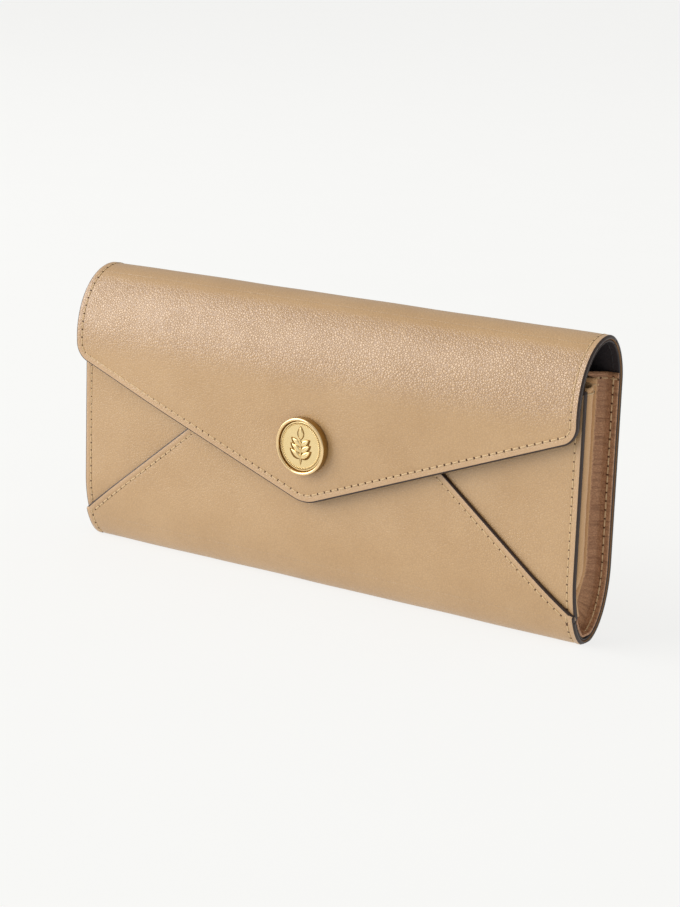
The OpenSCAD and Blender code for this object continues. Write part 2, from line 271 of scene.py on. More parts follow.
def inside(points, outline):
    """Which points lie within a closed outline."""
    x, y = points.T
    hit = np.zeros(len(points), bool)
    for a, b in zip(outline, np.roll(outline, -1, axis=0)):
        crosses = (a[1] > y) != (b[1] > y)
        with np.errstate(divide="ignore", invalid="ignore"):
            at = a[0] + (y - a[1]) * (b[0] - a[0]) / (b[1] - a[1])
        hit ^= crosses & (x < at)
    return hit


RINGS = (0.1, 0.25, 0.45, 0.9, 1.5, 2.0, 2.4, 2.8, 3.4, 4.6)   # rows of vertices beside an edge
CUT_RINGS = (0.15, 0.45, 0.9, 1.6)                             # and beside a cut


def cut_rows(length):
    """Where vertices lie along a straight cut that ends at two painted edges."""
    rings = np.array((0,) + RINGS)
    middle = np.linspace(RINGS[-1], length - RINGS[-1], max(2, round((length - 2 * RINGS[-1]) / 2.2)))
    return np.concatenate([rings, middle[1:-1], length - rings[::-1]])


def lay_out(corners, radii, painted, rows):
    """Triangles over a flat pattern piece, with rows of vertices along its edges.

    corners are [x, s] points. painted says for each side, which starts at its corner, whether
    it is a finished edge; any other side is cut to meet the next piece. rows are the lengths s
    at which the middle of the piece has vertices."""
    outline, sides = rounded(corners, radii)
    starts, ends = outline, np.roll(outline, -1, axis=0)
    on_paint = np.array([painted[s] for s in sides])
    border, beside, ring, cut = [], [], [], []
    for a, b, paint in zip(starts, ends, on_paint):
        length = np.hypot(*(b - a))
        normal = np.array([-(b - a)[1], (b - a)[0]]) / length
        if not paint and length > 2.5 * RINGS[-1]:
            t = cut_rows(length) / length
        else:
            t = np.linspace(0, 1, max(1, round(length / 1.0)) + 1)
        line = a + t[:-1, None] * (b - a)
        border.append(line)
        for d in RINGS if paint else CUT_RINGS:
            if paint:
                beside.append(line + normal * d)
                ring += [d] * len(line)
            else:
                cut.append(line + normal * d)
    border = np.concatenate(border)
    paint_a, paint_b = starts[on_paint], ends[on_paint]
    bare_a, bare_b = starts[~on_paint], ends[~on_paint]
    inner = []
    if beside:
        beside = np.concatenate(beside)
        far = distance_to(beside, paint_a, paint_b) > np.array(ring) * 0.98
        inner.append(beside[far])
    low, high = outline.min(0), outline.max(0)
    xs = np.linspace(low[0], high[0], max(3, round((high[0] - low[0]) / 2.2)))
    grid = np.array([(x, s) for s in rows for x in xs if low[1] < s < high[1]]).reshape(-1, 2)
    if len(grid) and len(paint_a):
        grid = grid[distance_to(grid, paint_a, paint_b) > RINGS[-1] + 0.6]
    inner.append(grid)
    inner = np.concatenate(inner)
    if len(bare_a):
        inner = inner[distance_to(inner, bare_a, bare_b) > CUT_RINGS[-1] + 0.3]
        cut = np.concatenate(cut)
        if len(paint_a):
            cut = cut[distance_to(cut, paint_a, paint_b) > 0.05]
        inner = np.concatenate([inner, cut])
    inner = inner[inside(inner, border)]
    points = np.concatenate([border, inner])
    flat, _, faces, *_ = delaunay_2d_cdt(
        [Vector(p) for p in points], [], [list(range(len(border)))], 1, 1e-3)
    flat = np.array([tuple(p) for p in flat])
    edge = distance_to(flat, paint_a, paint_b) if len(paint_a) else np.full(len(flat), 50.0)
    return flat, faces, edge


def soft_swell(x, s):
    """The slight unevenness of hand-laid leather, in millimetres."""
    return (0.05 * np.sin(x / 11.0 + 1.3 * np.sin(s / 17.0)) * np.sin(s / 9.0 + 0.7)
            + 0.035 * np.sin(x / 5.3 + s / 7.1 + 0.4) + 0.03 * np.sin(x / 23.0 - s / 13.0))


def panel(name, line, corners, painted, depth, thick, materials, radii=None, rows=None,
          swell=1.0, round_r=0.35, sewn=True, lift=None):
    """A leather pattern piece wrapped round a line, with rounded and painted edges.

    materials are those of the grain side, the flesh side and the painted edge."""
    corners = [np.array(c, float) for c in corners]
    radii = radii or [0] * len(corners)
    if rows is None:
        low, high = min(c[1] for c in corners), max(c[1] for c in corners)
        rows = np.arange(math.ceil(low / 1.6) * 1.6, high, 1.6)
    flat, faces, edge = lay_out(corners, radii, painted, rows)
    x, s = flat.T
    round_r = min(round_r, 0.45 * thick)
    near = np.clip(1 - edge / round_r, 0, 1)
    drop = round_r * (1 - np.sqrt(1 - near ** 2 * 0.98))
    top = depth + drop
    if sewn:
        top = top + groove_d * np.exp(-((edge - stitch_in) / groove_w) ** 2)
        top = top - 0.07 * np.clip((stitch_in - edge) / 0.8, 0, 1) * np.clip(edge / 0.5, 0, 1)
    top = top - swell * soft_swell(x, s) * np.clip(edge / 6, 0, 1)
    if lift is not None:
        top = top - lift(x, s)
    low = depth + thick - 0.6 * drop - (lift(x, s) if lift is not None else 0)

    def place(x, s, d):
        yz = line.at(s, d)
        return np.stack([x, yz[:, 0], yz[:, 1]], 1)

    count = len(flat)
    vertices = [place(x, s, top), place(x, s, low)]
    uvs = [flat, flat + [0, 300]]
    all_faces = [tuple(f) for f in faces] + [tuple(v + count for v in f[::-1]) for f in faces]
    slots = [2 if edge[list(f)].max() < 0.5 else 0 for f in faces] + [1] * len(faces)
    smooth = [True] * len(all_faces)
    used = {(a, b) for f in faces for a, b in zip(f, list(f[1:]) + [f[0]])}
    follow = {a: b for a, b in used if (b, a) not in used}
    back = {b: a for a, b in follow.items()}
    ids = list(follow)
    number = {v: i for i, v in enumerate(ids)}
    is_paint = edge[ids] < 1e-3
    painted_on = np.array([is_paint[number[follow[v]]] for v in ids]) & is_paint
    painted_by = np.array([is_paint[number[back[v]]] for v in ids]) & is_paint
    ahead = flat[[follow[v] for v in ids]] - flat[ids]
    behind = flat[ids] - flat[[back[v] for v in ids]]
    ahead = ahead / np.hypot(*ahead.T)[:, None]
    behind = behind / np.hypot(*behind.T)[:, None]
    away = ahead * (painted_on | ~painted_by)[:, None] + behind * (painted_by | ~painted_on)[:, None]
    away = np.stack([away[:, 1], -away[:, 0]], 1)
    away /= np.maximum(np.hypot(*away.T), 1e-9)[:, None]
    fractions = (0.2, 0.5, 0.8)
    for f in fractions:
        p = flat[ids] + away * (0.1 * math.sin(math.pi * f) * is_paint)[:, None]
        vertices.append(place(p[:, 0], p[:, 1], top[ids] * (1 - f) + low[ids] * f))
        uvs.append(p + [0, -f * thick])
    levels = [dict(zip(ids, ids))]
    for k in range(len(fractions)):
        levels.append({v: 2 * count + k * len(ids) + number[v] for v in ids})
    levels.append({v: v + count for v in ids})
    for a, b in follow.items():
        paint = bool(is_paint[number[a]] and is_paint[number[b]])
        for upper, lower in zip(levels, levels[1:]):
            all_faces.append((upper[b], upper[a], lower[a], lower[b]))
            slots.append(2 if paint else 1)
            smooth.append(paint)
    vertices = np.concatenate(vertices)
    vertices[:, 2] = np.maximum(vertices[:, 2], 0)
    piece = new_mesh(name, vertices, all_faces, materials, slots, np.concatenate(uvs), smooth)
    add_number(piece, "edge_mm", np.minimum(np.concatenate([edge, edge] + [edge[ids]] * 3), far_mm))
    face_out(piece)
    return piece


def face_out(piece):
    """Turns a closed mesh's faces outwards, where its signed volume says that they face in."""
    mesh = piece.data
    mesh.calc_loop_triangles()
    co = np.array([v.co for v in mesh.vertices], float).reshape(-1, 3)
    tri = np.array([t.vertices for t in mesh.loop_triangles])
    a, b, c = co[tri[:, 0]], co[tri[:, 1]], co[tri[:, 2]]
    if np.einsum("ij,ij->i", a, np.cross(b, c)).sum() < 0:
        mesh.flip_normals()


def sheet_faces(rows, columns):
    """Faces of a closed sheet: a grid of vertices, the same grid again under it, and its rim."""
    index = np.arange(rows * columns).reshape(rows, columns)
    a, b, c, d = index[:-1, :-1], index[:-1, 1:], index[1:, 1:], index[1:, :-1]
    upper = np.stack([a, b, c, d], -1).reshape(-1, 4)
    ring = np.concatenate([index[0, :-1], index[:-1, -1], index[-1, :0:-1], index[:0:-1, 0]])
    after = np.roll(ring, -1)
    below = rows * columns
    rim = np.stack([after, ring, ring + below, after + below], -1)
    return upper.tolist() + (upper[:, ::-1] + below).tolist() + rim.tolist()


def grid_sheet(name, points, thick, materials, uvs):
    """A closed sheet of even thickness whose middle is a grid of points, rows by columns."""
    down = np.gradient(points, axis=0)
    across = np.gradient(points, axis=1)
    normal = np.cross(across, down)
    normal /= np.maximum(np.linalg.norm(normal, axis=2), 1e-9)[..., None]
    sides = [points + normal * thick / 2, points - normal * thick / 2]
    vertices = np.concatenate([s.reshape(-1, 3) for s in sides])
    uvs = np.concatenate([uvs.reshape(-1, 2)] * 2)
    piece = new_mesh(name, vertices, sheet_faces(*points.shape[:2]), materials, uvs=uvs)
    add_number(piece, "edge_mm", np.full(len(vertices), far_mm))
    face_out(piece)
    return piece, normal


def lathe(name, profile, place, materials, slots=None, turns=96):
    """A round fitting from its [radius, height] profile, stood at a place."""
    profile = np.array(profile, float)
    angles = np.linspace(0, 2 * math.pi, turns, endpoint=False)
    vertices, faces, used = [], [], []
    rings = []
    for r, h in profile:
        if r < 1e-6:
            rings.append([len(vertices)] * turns)
            vertices.append((0, 0, h))
        else:
            rings.append(list(range(len(vertices), len(vertices) + turns)))
            vertices += [(r * math.cos(t), r * math.sin(t), h) for t in angles]
    for k, (low, high) in enumerate(zip(rings, rings[1:])):
        for i in range(turns):
            j = (i + 1) % turns
            face = list(dict.fromkeys((low[i], low[j], high[j], high[i])))
            if len(face) > 2:
                faces.append(face)
                used.append(slots[k] if slots else 0)
    vertices = np.array([place @ Vector(v) for v in vertices])
    piece = new_mesh(name, vertices, faces, materials, used)
    face_out(piece)
    return piece


def softened(name, nodes, radius, materials):
    """A copy of metal CAD nodes with their edges rounded over."""
    work = bmesh.new()
    for node in nodes:
        work.from_mesh(frame["nodes"][node].data)
    bmesh.ops.remove_doubles(work, verts=work.verts, dist=1e-6)
    bmesh.ops.dissolve_limit(work, angle_limit=0.03, verts=work.verts, edges=work.edges)
    sharp = [e for e in work.edges if len(e.link_faces) == 2 and e.calc_face_angle(0) > 0.5]
    bmesh.ops.bevel(work, geom=sharp, offset=radius * MM, segments=3, profile=0.6,
                    affect="EDGES", clamp_overlap=True)
    mesh = bpy.data.meshes.new(name)
    work.to_mesh(mesh)
    work.free()
    for material in materials:
        mesh.materials.append(material)
    mesh.polygons.foreach_set("use_smooth", np.full(len(mesh.polygons), True))
    mesh.set_sharp_from_angle(angle=0.7)
    piece = bpy.data.objects.new(name, mesh)
    bpy.context.scene.collection.objects.link(piece)
    return piece


# ---- materials ----


def colour(code):
    """An sRGB hex colour as linear red, green, blue and alpha."""
    parts = [int(code[i:i + 2], 16) / 255 for i in (1, 3, 5)]
    return [p / 12.92 if p <= 0.04045 else ((p + 0.055) / 1.055) ** 2.4 for p in parts] + [1.0]


def add(tree, kind, links=None, **settings):
    """Adds a node. links gives its inputs, by name or place, as values or as sockets."""
    item = tree.nodes.new(kind)
    for key, value in settings.items():
        setattr(item, key, value)
    for key, value in (links or {}).items():
        if isinstance(value, bpy.types.NodeSocket):
            tree.links.new(value, item.inputs[key])
        else:
            item.inputs[key].default_value = value
    return item


def start_material(name, **surface):
    """A new material, its tree and its surface shader."""
    material = bpy.data.materials.new(name)
    material.use_nodes = True
    tree = material.node_tree
    tree.nodes.clear()
    shader = add(tree, "ShaderNodeBsdfPrincipled", surface)
    out = add(tree, "ShaderNodeOutputMaterial")
    tree.links.new(shader.outputs[0], out.inputs["Surface"])
    return material, tree, shader


def join_up(tree, shader, tint, rough, bump):
    """Links a pattern's colour, roughness and relief to its shader."""
    tree.links.new(tint.outputs[2], shader.inputs["Base Color"])
    tree.links.new(rough.outputs[0], shader.inputs["Roughness"])
    tree.links.new(bump.outputs[0], shader.inputs["Normal"])


def leather(name, base, crease, light, pebble=0.85, depth=0.07, rough=0.45, wrinkle=0.0,
            specular=0.5, edge_burnish_and_highlight=0.0, stretched_and_highlit=None):
    """Full-grain calf: pebbles of the embossed grain, fine pores between them, slow drifts of
    the dye, and a paler border towards a finished edge, partly burnish and partly a painted
    highlight. Sizes are in millimetres. The stretched band, where one is given, is where along
    the piece it turns over the top: there the grain opens, deeper and darker between pebbles,
    and the pebbles there are painted paler as a highlight."""
    material, tree, shader = start_material(name, **{"Specular IOR Level": specular, "IOR": 1.46})
    place = add(tree, "ShaderNodeUVMap", uv_map="leather").outputs[0]
    wander = add(tree, "ShaderNodeTexNoise", {"Vector": place, "Scale": 1 / (2.2 * MM), "Detail": 2})
    bent = add(tree, "ShaderNodeVectorMath", {0: wander.outputs["Color"], 1: (0.5, 0.5, 0.5)},
               operation="SUBTRACT")
    bent = add(tree, "ShaderNodeVectorMath", {0: bent.outputs[0], "Scale": 0.6 * MM},
               operation="SCALE")
    bent = add(tree, "ShaderNodeVectorMath", {0: place, 1: bent.outputs[0]}, operation="ADD")
    cells = add(tree, "ShaderNodeTexVoronoi",
                {"Vector": bent.outputs[0], "Scale": 1 / (pebble * MM), "Smoothness": 0.2,
                 "Randomness": 0.95}, feature="SMOOTH_F1")
    cracks = add(tree, "ShaderNodeTexVoronoi",
                 {"Vector": bent.outputs[0], "Scale": 1 / (pebble * MM), "Randomness": 0.95},
                 feature="DISTANCE_TO_EDGE")
    pores = add(tree, "ShaderNodeTexNoise",
                {"Vector": place, "Scale": 1 / (0.3 * MM), "Detail": 3, "Roughness": 0.6})
    drift = add(tree, "ShaderNodeTexNoise",
                {"Vector": place, "Scale": 1 / (26 * MM), "Detail": 4, "Roughness": 0.55})
    strength = add(tree, "ShaderNodeTexNoise",
                   {"Vector": place, "Scale": 1 / (14 * MM), "Detail": 1})
    crack = add(tree, "ShaderNodeMapRange",
                {"Value": cracks.outputs["Distance"], "From Max": 0.2}, interpolation_type="SMOOTHSTEP")
    dome = add(tree, "ShaderNodeMath", {0: cells.outputs["Distance"], 1: -0.8}, operation="MULTIPLY")
    height = add(tree, "ShaderNodeMath", {0: crack.outputs[0], 1: 0.55, 2: dome.outputs[0]},
                 operation="MULTIPLY_ADD")
    firm = add(tree, "ShaderNodeMapRange",
               {"Value": strength.outputs["Fac"], "From Min": 0.3, "From Max": 0.7,
                "To Min": 0.75, "To Max": 1.1})
    if stretched_and_highlit:
        along = add(tree, "ShaderNodeSeparateXYZ", {0: place}).outputs["Y"]
        low, high = stretched_and_highlit
        into = add(tree, "ShaderNodeMapRange",
                   {"Value": along, "From Min": (low - 4) * MM, "From Max": low * MM,
                    "To Min": 0.35}, interpolation_type="SMOOTHSTEP")
        past = add(tree, "ShaderNodeMapRange",
                   {"Value": along, "From Min": high * MM, "From Max": (high + 12) * MM,
                    "To Min": 1.0, "To Max": 0.35}, interpolation_type="SMOOTHSTEP")
        opened_and_highlit = add(tree, "ShaderNodeMath", {0: into.outputs[0], 1: past.outputs[0]},
                     operation="MINIMUM")
        firm = add(tree, "ShaderNodeMath", {0: firm.outputs[0], 1: opened_and_highlit.outputs[0]},
                   operation="MULTIPLY")
    height = add(tree, "ShaderNodeMath", {0: height.outputs[0], 1: firm.outputs[0]},
                 operation="MULTIPLY")
    height = add(tree, "ShaderNodeMath", {0: pores.outputs["Fac"], 1: 0.12, 2: height.outputs[0]},
                 operation="MULTIPLY_ADD")
    if wrinkle:
        long = add(tree, "ShaderNodeMapping",
                   {"Vector": place, "Scale": (1 / (9 * MM), 1 / (1.15 * MM), 1)})
        folds = add(tree, "ShaderNodeTexNoise",
                    {"Vector": long.outputs[0], "Scale": 1.0, "Detail": 3, "Distortion": 0.5})
        height = add(tree, "ShaderNodeMath",
                     {0: folds.outputs["Fac"], 1: wrinkle, 2: height.outputs[0]},
                     operation="MULTIPLY_ADD")
        fold_shade_mask = add(tree, "ShaderNodeMapRange",
                        {"Value": folds.outputs["Fac"], "From Min": 0.3, "From Max": 0.55})
    bump = add(tree, "ShaderNodeBump",
               {"Height": height.outputs[0], "Distance": depth * MM, "Strength": 1.0})
    tone = add(tree, "ShaderNodeMapRange",
               {"Value": drift.outputs["Fac"], "From Min": 0.32, "From Max": 0.68})
    tint = add(tree, "ShaderNodeMix", {"Factor": tone.outputs[0], 6: colour(base), 7: colour(light)},
               data_type="RGBA")
    grain = add(tree, "ShaderNodeMapRange",
                {"Value": crack.outputs[0], "To Min": 0.3, "To Max": 0.0})
    if stretched_and_highlit:
        grain = add(tree, "ShaderNodeMath", {0: grain.outputs[0], 1: opened_and_highlit.outputs[0]},
                    operation="MULTIPLY")
        grain = add(tree, "ShaderNodeMath", {0: grain.outputs[0], 1: 1.7}, operation="MULTIPLY")
        # painted highlight: in the band over the top, the pebbles are mixed towards a pale pinkish tan
        highlight_mix = add(tree, "ShaderNodeMapRange",
                    {"Value": opened_and_highlit.outputs[0], "From Min": 0.35, "To Max": 0.25})
        tint = add(tree, "ShaderNodeMix",
                   {"Factor": highlight_mix.outputs[0], 6: tint.outputs[2], 7: colour("#DDBB9A")},
                   data_type="RGBA")
    tint = add(tree, "ShaderNodeMix",
               {"Factor": grain.outputs[0], 6: tint.outputs[2], 7: colour(crease)}, data_type="RGBA")
    # painted shade: the low sides of the wrinkles are darkened towards the crease colour
    if wrinkle:
        shade = add(tree, "ShaderNodeMath", {0: 1.0, 1: fold_shade_mask.outputs[0]}, operation="SUBTRACT")
        shade = add(tree, "ShaderNodeMath", {0: shade.outputs[0], 1: 0.6}, operation="MULTIPLY")
        tint = add(tree, "ShaderNodeMix",
                   {"Factor": shade.outputs[0], 6: tint.outputs[2], 7: colour(crease)},
                   data_type="RGBA")
    # paler border beside a painted edge: partly burnish, partly a painted highlight on the border
    if edge_burnish_and_highlight:
        edge = add(tree, "ShaderNodeAttribute", attribute_name="edge_mm")
        near = add(tree, "ShaderNodeMapRange",
                   {"Value": edge.outputs["Fac"], "From Min": 0.3, "From Max": 2.2,
                    "To Min": edge_burnish_and_highlight, "To Max": 0.0})
        tint = add(tree, "ShaderNodeMix",
                   {"Factor": near.outputs[0], 6: tint.outputs[2], 7: colour("#D2AF90")},
                   data_type="RGBA")
    rough_map = add(tree, "ShaderNodeMapRange",
                    {"Value": height.outputs[0], "From Min": -0.4, "From Max": 0.7,
                     "To Min": rough + 0.12, "To Max": rough - 0.05})
    join_up(tree, shader, tint, rough_map, bump)
    return material


def painted_edge():
    """Edge paint: several rubbed-down coats, a soft satin skin that is slightly uneven."""
    material, tree, shader = start_material("satin_edge_paint", **{"Coat Weight": 0.12,
                                            "Coat Roughness": 0.3, "Specular IOR Level": 0.4})
    place = add(tree, "ShaderNodeTexCoord").outputs["Object"]
    uneven = add(tree, "ShaderNodeTexNoise", {"Vector": place, "Scale": 1 / (1.8 * MM), "Detail": 3})
    tint = add(tree, "ShaderNodeMix", {"Factor": uneven.outputs["Fac"], 6: colour("#2A1A14"),
                                       7: colour("#392922")}, data_type="RGBA")
    rough = add(tree, "ShaderNodeMapRange", {"Value": uneven.outputs["Fac"], "To Min": 0.32,
                                             "To Max": 0.5})
    bump = add(tree, "ShaderNodeBump", {"Height": uneven.outputs["Fac"], "Distance": 0.06 * MM})
    join_up(tree, shader, tint, rough, bump)
    return material


def waxed_thread(name, base, dark):
    """Waxed linen thread: two twisted plies, a dull wax sheen."""
    material, tree, shader = start_material(name, **{"Specular IOR Level": 0.4})
    place = add(tree, "ShaderNodeTexCoord").outputs["Object"]
    plies = add(tree, "ShaderNodeTexNoise", {"Vector": place, "Scale": 1 / (0.4 * MM), "Detail": 2})
    tint = add(tree, "ShaderNodeMix", {"Factor": plies.outputs["Fac"], 6: colour(dark),
                                       7: colour(base)}, data_type="RGBA")
    bump = add(tree, "ShaderNodeBump", {"Height": plies.outputs["Fac"], "Distance": 0.08 * MM})
    rough = add(tree, "ShaderNodeMapRange", {"Value": plies.outputs["Fac"], "To Min": 0.45,
                                             "To Max": 0.7})
    join_up(tree, shader, tint, rough, bump)
    return material


def metal(name, base, worn, rough=0.25, grain=0.5):
    """Plated brass: a faint cloudiness from polishing and fine handling marks."""
    material, tree, shader = start_material(name, **{"Metallic": 1.0})
    place = add(tree, "ShaderNodeTexCoord").outputs["Object"]
    cloud = add(tree, "ShaderNodeTexNoise", {"Vector": place, "Scale": 1 / (3.5 * MM), "Detail": 4})
    marks = add(tree, "ShaderNodeTexNoise",
                {"Vector": place, "Scale": 1 / (grain * MM), "Detail": 3, "Roughness": 0.7})
    tint = add(tree, "ShaderNodeMix", {"Factor": cloud.outputs["Fac"], 6: colour(base),
                                       7: colour(worn)}, data_type="RGBA")
    rough_map = add(tree, "ShaderNodeMapRange", {"Value": marks.outputs["Fac"], "From Min": 0.3,
                    "From Max": 0.7, "To Min": rough * 0.8, "To Max": rough * 1.3})
    bump = add(tree, "ShaderNodeBump", {"Height": marks.outputs["Fac"], "Distance": 0.012 * MM})
    join_up(tree, shader, tint, rough_map, bump)
    return material


def woven_tape():
    """Zip tape: a close herringbone of polyester with a dull face."""
    material, tree, shader = start_material("woven_zip_tape", **{"Sheen Weight": 0.3,
                                            "Specular IOR Level": 0.25})
    place = add(tree, "ShaderNodeTexCoord").outputs["Object"]
    ribs = add(tree, "ShaderNodeTexWave", {"Vector": place, "Scale": 1 / (2.6 * MM),
               "Distortion": 0.6, "Detail": 1}, bands_direction="DIAGONAL")
    yarn = add(tree, "ShaderNodeTexNoise", {"Vector": place, "Scale": 1 / (0.35 * MM), "Detail": 2})
    height = add(tree, "ShaderNodeMath", {0: yarn.outputs["Fac"], 1: 0.5, 2: ribs.outputs["Fac"]},
                 operation="MULTIPLY_ADD")
    tint = add(tree, "ShaderNodeMix", {"Factor": ribs.outputs["Fac"], 6: colour("#2B221D"),
                                       7: colour("#4A3D33")}, data_type="RGBA")
    rough = add(tree, "ShaderNodeMapRange", {"Value": yarn.outputs["Fac"], "To Min": 0.75,
                                             "To Max": 0.95})
    bump = add(tree, "ShaderNodeBump", {"Height": height.outputs[0], "Distance": 0.08 * MM})
    join_up(tree, shader, tint, rough, bump)
    return material


# painted highlight: the outer calf is painted paler in a band over the front of the roll
calf = leather("pebbled_tan_calf", "#B79264", "#7F5B3E", "#C09C6F", pebble=0.75, depth=0.12,
               rough=0.28, specular=0.95, stretched_and_highlit=(s_front - 5.0, s_front + 9.0),
               edge_burnish_and_highlight=0.35)
# painted light: this calf is lighter than the outer calf, so that the gusset's front fold, which faces
# away from the lamp, reads as brightly lit; the card slots and coin pocket share it
smooth_calf_painted_light = leather("smooth_tan_calf_painted_light", "#D0A474", "#A98155", "#D8AE80", pebble=0.6, depth=0.03,
                      edge_burnish_and_highlight=0.2)
# its wrinkles carry painted shade in their low sides
gusset_calf = leather("soft_folded_calf", "#BB8A65", "#7A5135", "#C79871", pebble=0.7, depth=0.1,
                      rough=0.55, wrinkle=1.6)
black_calf = leather("black_lining_calf", "#2A272A", "#1D1B1D", "#332F33", pebble=0.5, depth=0.03,
                     rough=0.5)
flesh = leather("pared_flesh_side", "#8B6A4A", "#6F5238", "#967453", pebble=0.4, depth=0.03,
                rough=0.8, specular=0.2)
edge_paint = painted_edge()
thread = waxed_thread("waxed_tan_thread", "#D8BC94", "#C4A478")
black_thread = waxed_thread("waxed_black_thread", "#2C292B", "#1C1A1C")
# painted shadow: the needle holes are flat dark discs, not openings
painted_hole_shade = waxed_thread("needle_hole_shadow", "#6A4526", "#4A2D17")
gold = metal("brushed_pale_gold", "#F2DAA6", "#E6CA90", rough=0.24)
# painted highlight: a paler copy of the gold for the medallion's rolled rim
rim_gold_painted_highlight = metal("polished_rim_gold_painted_highlight", "#F8DBAA", "#EDCB96", rough=0.2)
# dark gold: painted shade down the rim's inner wall, and dark outlines round the sprig's leaves and a
# thin ring on the face
gold_shade = metal("dark_gold_outlines_and_painted_shade", "#8E6730", "#6E4C20", rough=0.4)
# painted shade: a darker copy of the gold for the medallion's side wall
side_gold_painted_shade = metal("satin_gold_painted_shade", "#BFA468", "#957443", rough=0.35)
brass = metal("polished_brass", "#D9BC7A", "#C2A05C", rough=0.2)
tape = woven_tape()

# ---- stitches ----


def start_tree(name, result, sockets):
    """A Geometry Nodes tree that grows on marked points, and its inputs."""
    tree = bpy.data.node_groups.new(name, "GeometryNodeTree")
    tree.is_modifier = True
    for socket, kind in (("Marks", "Geometry"), *sockets):
        tree.interface.new_socket(socket, in_out="INPUT", socket_type="NodeSocket" + kind)
    tree.interface.new_socket(result, in_out="OUTPUT", socket_type="NodeSocketGeometry")
    return tree, add(tree, "NodeGroupInput").outputs


def end_tree(tree, given, shape):
    """Lays a shape at every marked point and gives it its metal."""
    laid = add(tree, "GeometryNodeInstanceOnPoints",
               {"Points": given["Marks"], "Instance": shape.outputs[0]})
    real = add(tree, "GeometryNodeRealizeInstances", {"Geometry": laid.outputs[0]})
    smooth = add(tree, "GeometryNodeSetShadeSmooth", {"Geometry": real.outputs[0]})
    done = add(tree, "GeometryNodeSetMaterial", {"Geometry": smooth.outputs[0],
                                                 "Material": given["Metal"]})
    out = add(tree, "NodeGroupOutput")
    tree.links.new(done.outputs[0], out.inputs[0])
    return tree


def stitch_tree():
    """Geometry Nodes: a sunk thread between two needle holes, laid at every marked point; each hole is
    a flat dark disc of painted shadow.
    """
    tree, given = start_tree("saddle_stitches", "Stitches", [
        ("Length", "Float"), ("Thread width", "Float"), ("Hole width", "Float"),
        ("Thread", "Material"), ("Hole", "Material")])
    half = add(tree, "ShaderNodeMath", {0: given["Length"], 1: 0.5}, operation="MULTIPLY").outputs[0]
    less = add(tree, "ShaderNodeMath", {0: half, 1: -1.0}, operation="MULTIPLY").outputs[0]
    sink = add(tree, "ShaderNodeMath", {0: given["Thread width"], 1: -0.5},
               operation="MULTIPLY").outputs[0]
    rise = add(tree, "ShaderNodeMath", {0: given["Thread width"], 1: 0.5},
               operation="MULTIPLY").outputs[0]
    first = add(tree, "ShaderNodeCombineXYZ", {"X": less, "Z": sink})
    middle = add(tree, "ShaderNodeCombineXYZ", {"Z": rise})
    last = add(tree, "ShaderNodeCombineXYZ", {"X": half, "Z": sink})
    arch = add(tree, "GeometryNodeCurveQuadraticBezier",
               {"Resolution": 6, "Start": first.outputs[0], "Middle": middle.outputs[0],
                "End": last.outputs[0]})
    girth = add(tree, "ShaderNodeMath", {0: given["Thread width"], 1: 0.5}, operation="MULTIPLY")
    ring = add(tree, "GeometryNodeCurvePrimitiveCircle", {"Resolution": 6, "Radius": girth.outputs[0]})
    strand = add(tree, "GeometryNodeCurveToMesh",
                 {"Curve": arch.outputs[0], "Profile Curve": ring.outputs[0], "Fill Caps": True})
    flag = add(tree, "GeometryNodeStoreNamedAttribute",
               {"Geometry": strand.outputs[0], "Name": "is_hole", "Value": 0.0}, domain="FACE")
    # painted shadow: a flat dark disc stands in for the needle hole
    hole_r = add(tree, "ShaderNodeMath", {0: given["Hole width"], 1: 0.5}, operation="MULTIPLY")
    disc = add(tree, "GeometryNodeMeshCone",
               {"Vertices": 8, "Radius Top": 0.0, "Radius Bottom": hole_r.outputs[0],
                "Depth": 0.00006})
    spot = add(tree, "ShaderNodeCombineXYZ", {"X": less, "Z": 0.00001})
    disc = add(tree, "GeometryNodeTransform",
               {"Geometry": disc.outputs["Mesh"], "Translation": spot.outputs[0]})
    disc = add(tree, "GeometryNodeStoreNamedAttribute",
               {"Geometry": disc.outputs[0], "Name": "is_hole", "Value": 1.0}, domain="FACE")
    both = add(tree, "GeometryNodeJoinGeometry")
    tree.links.new(flag.outputs[0], both.inputs[0])
    tree.links.new(disc.outputs[0], both.inputs[0])
    way = add(tree, "GeometryNodeInputNamedAttribute", {"Name": "way"}, data_type="FLOAT_VECTOR")
    face = add(tree, "GeometryNodeInputNamedAttribute", {"Name": "face"}, data_type="FLOAT_VECTOR")
    turn = add(tree, "FunctionNodeAlignRotationToVector", {"Vector": face.outputs[0]}, axis="Z")
    turn = add(tree, "FunctionNodeAlignRotationToVector",
               {"Rotation": turn.outputs[0], "Vector": way.outputs[0]}, axis="X", pivot_axis="Z")
    uneven = add(tree, "FunctionNodeRandomValue", {2: 0.93, 3: 1.05, "Seed": 7}, data_type="FLOAT")
    laid = add(tree, "GeometryNodeInstanceOnPoints",
               {"Points": given["Marks"], "Instance": both.outputs[0], "Rotation": turn.outputs[0],
                "Scale": uneven.outputs[1]})
    real = add(tree, "GeometryNodeRealizeInstances", {"Geometry": laid.outputs[0]})
    is_hole = add(tree, "GeometryNodeInputNamedAttribute", {"Name": "is_hole"}, data_type="FLOAT")
    chosen = add(tree, "FunctionNodeCompare", {0: is_hole.outputs[0], 1: 0.5},
                 operation="GREATER_THAN")
    smooth = add(tree, "GeometryNodeSetShadeSmooth", {"Geometry": real.outputs[0]})
    threads = add(tree, "GeometryNodeSetMaterial",
                  {"Geometry": smooth.outputs[0], "Material": given["Thread"]})
    holes = add(tree, "GeometryNodeSetMaterial",
                {"Geometry": threads.outputs[0], "Selection": chosen.outputs[0],
                 "Material": given["Hole"]})
    out = add(tree, "NodeGroupOutput")
    tree.links.new(holes.outputs[0], out.inputs[0])
    return tree


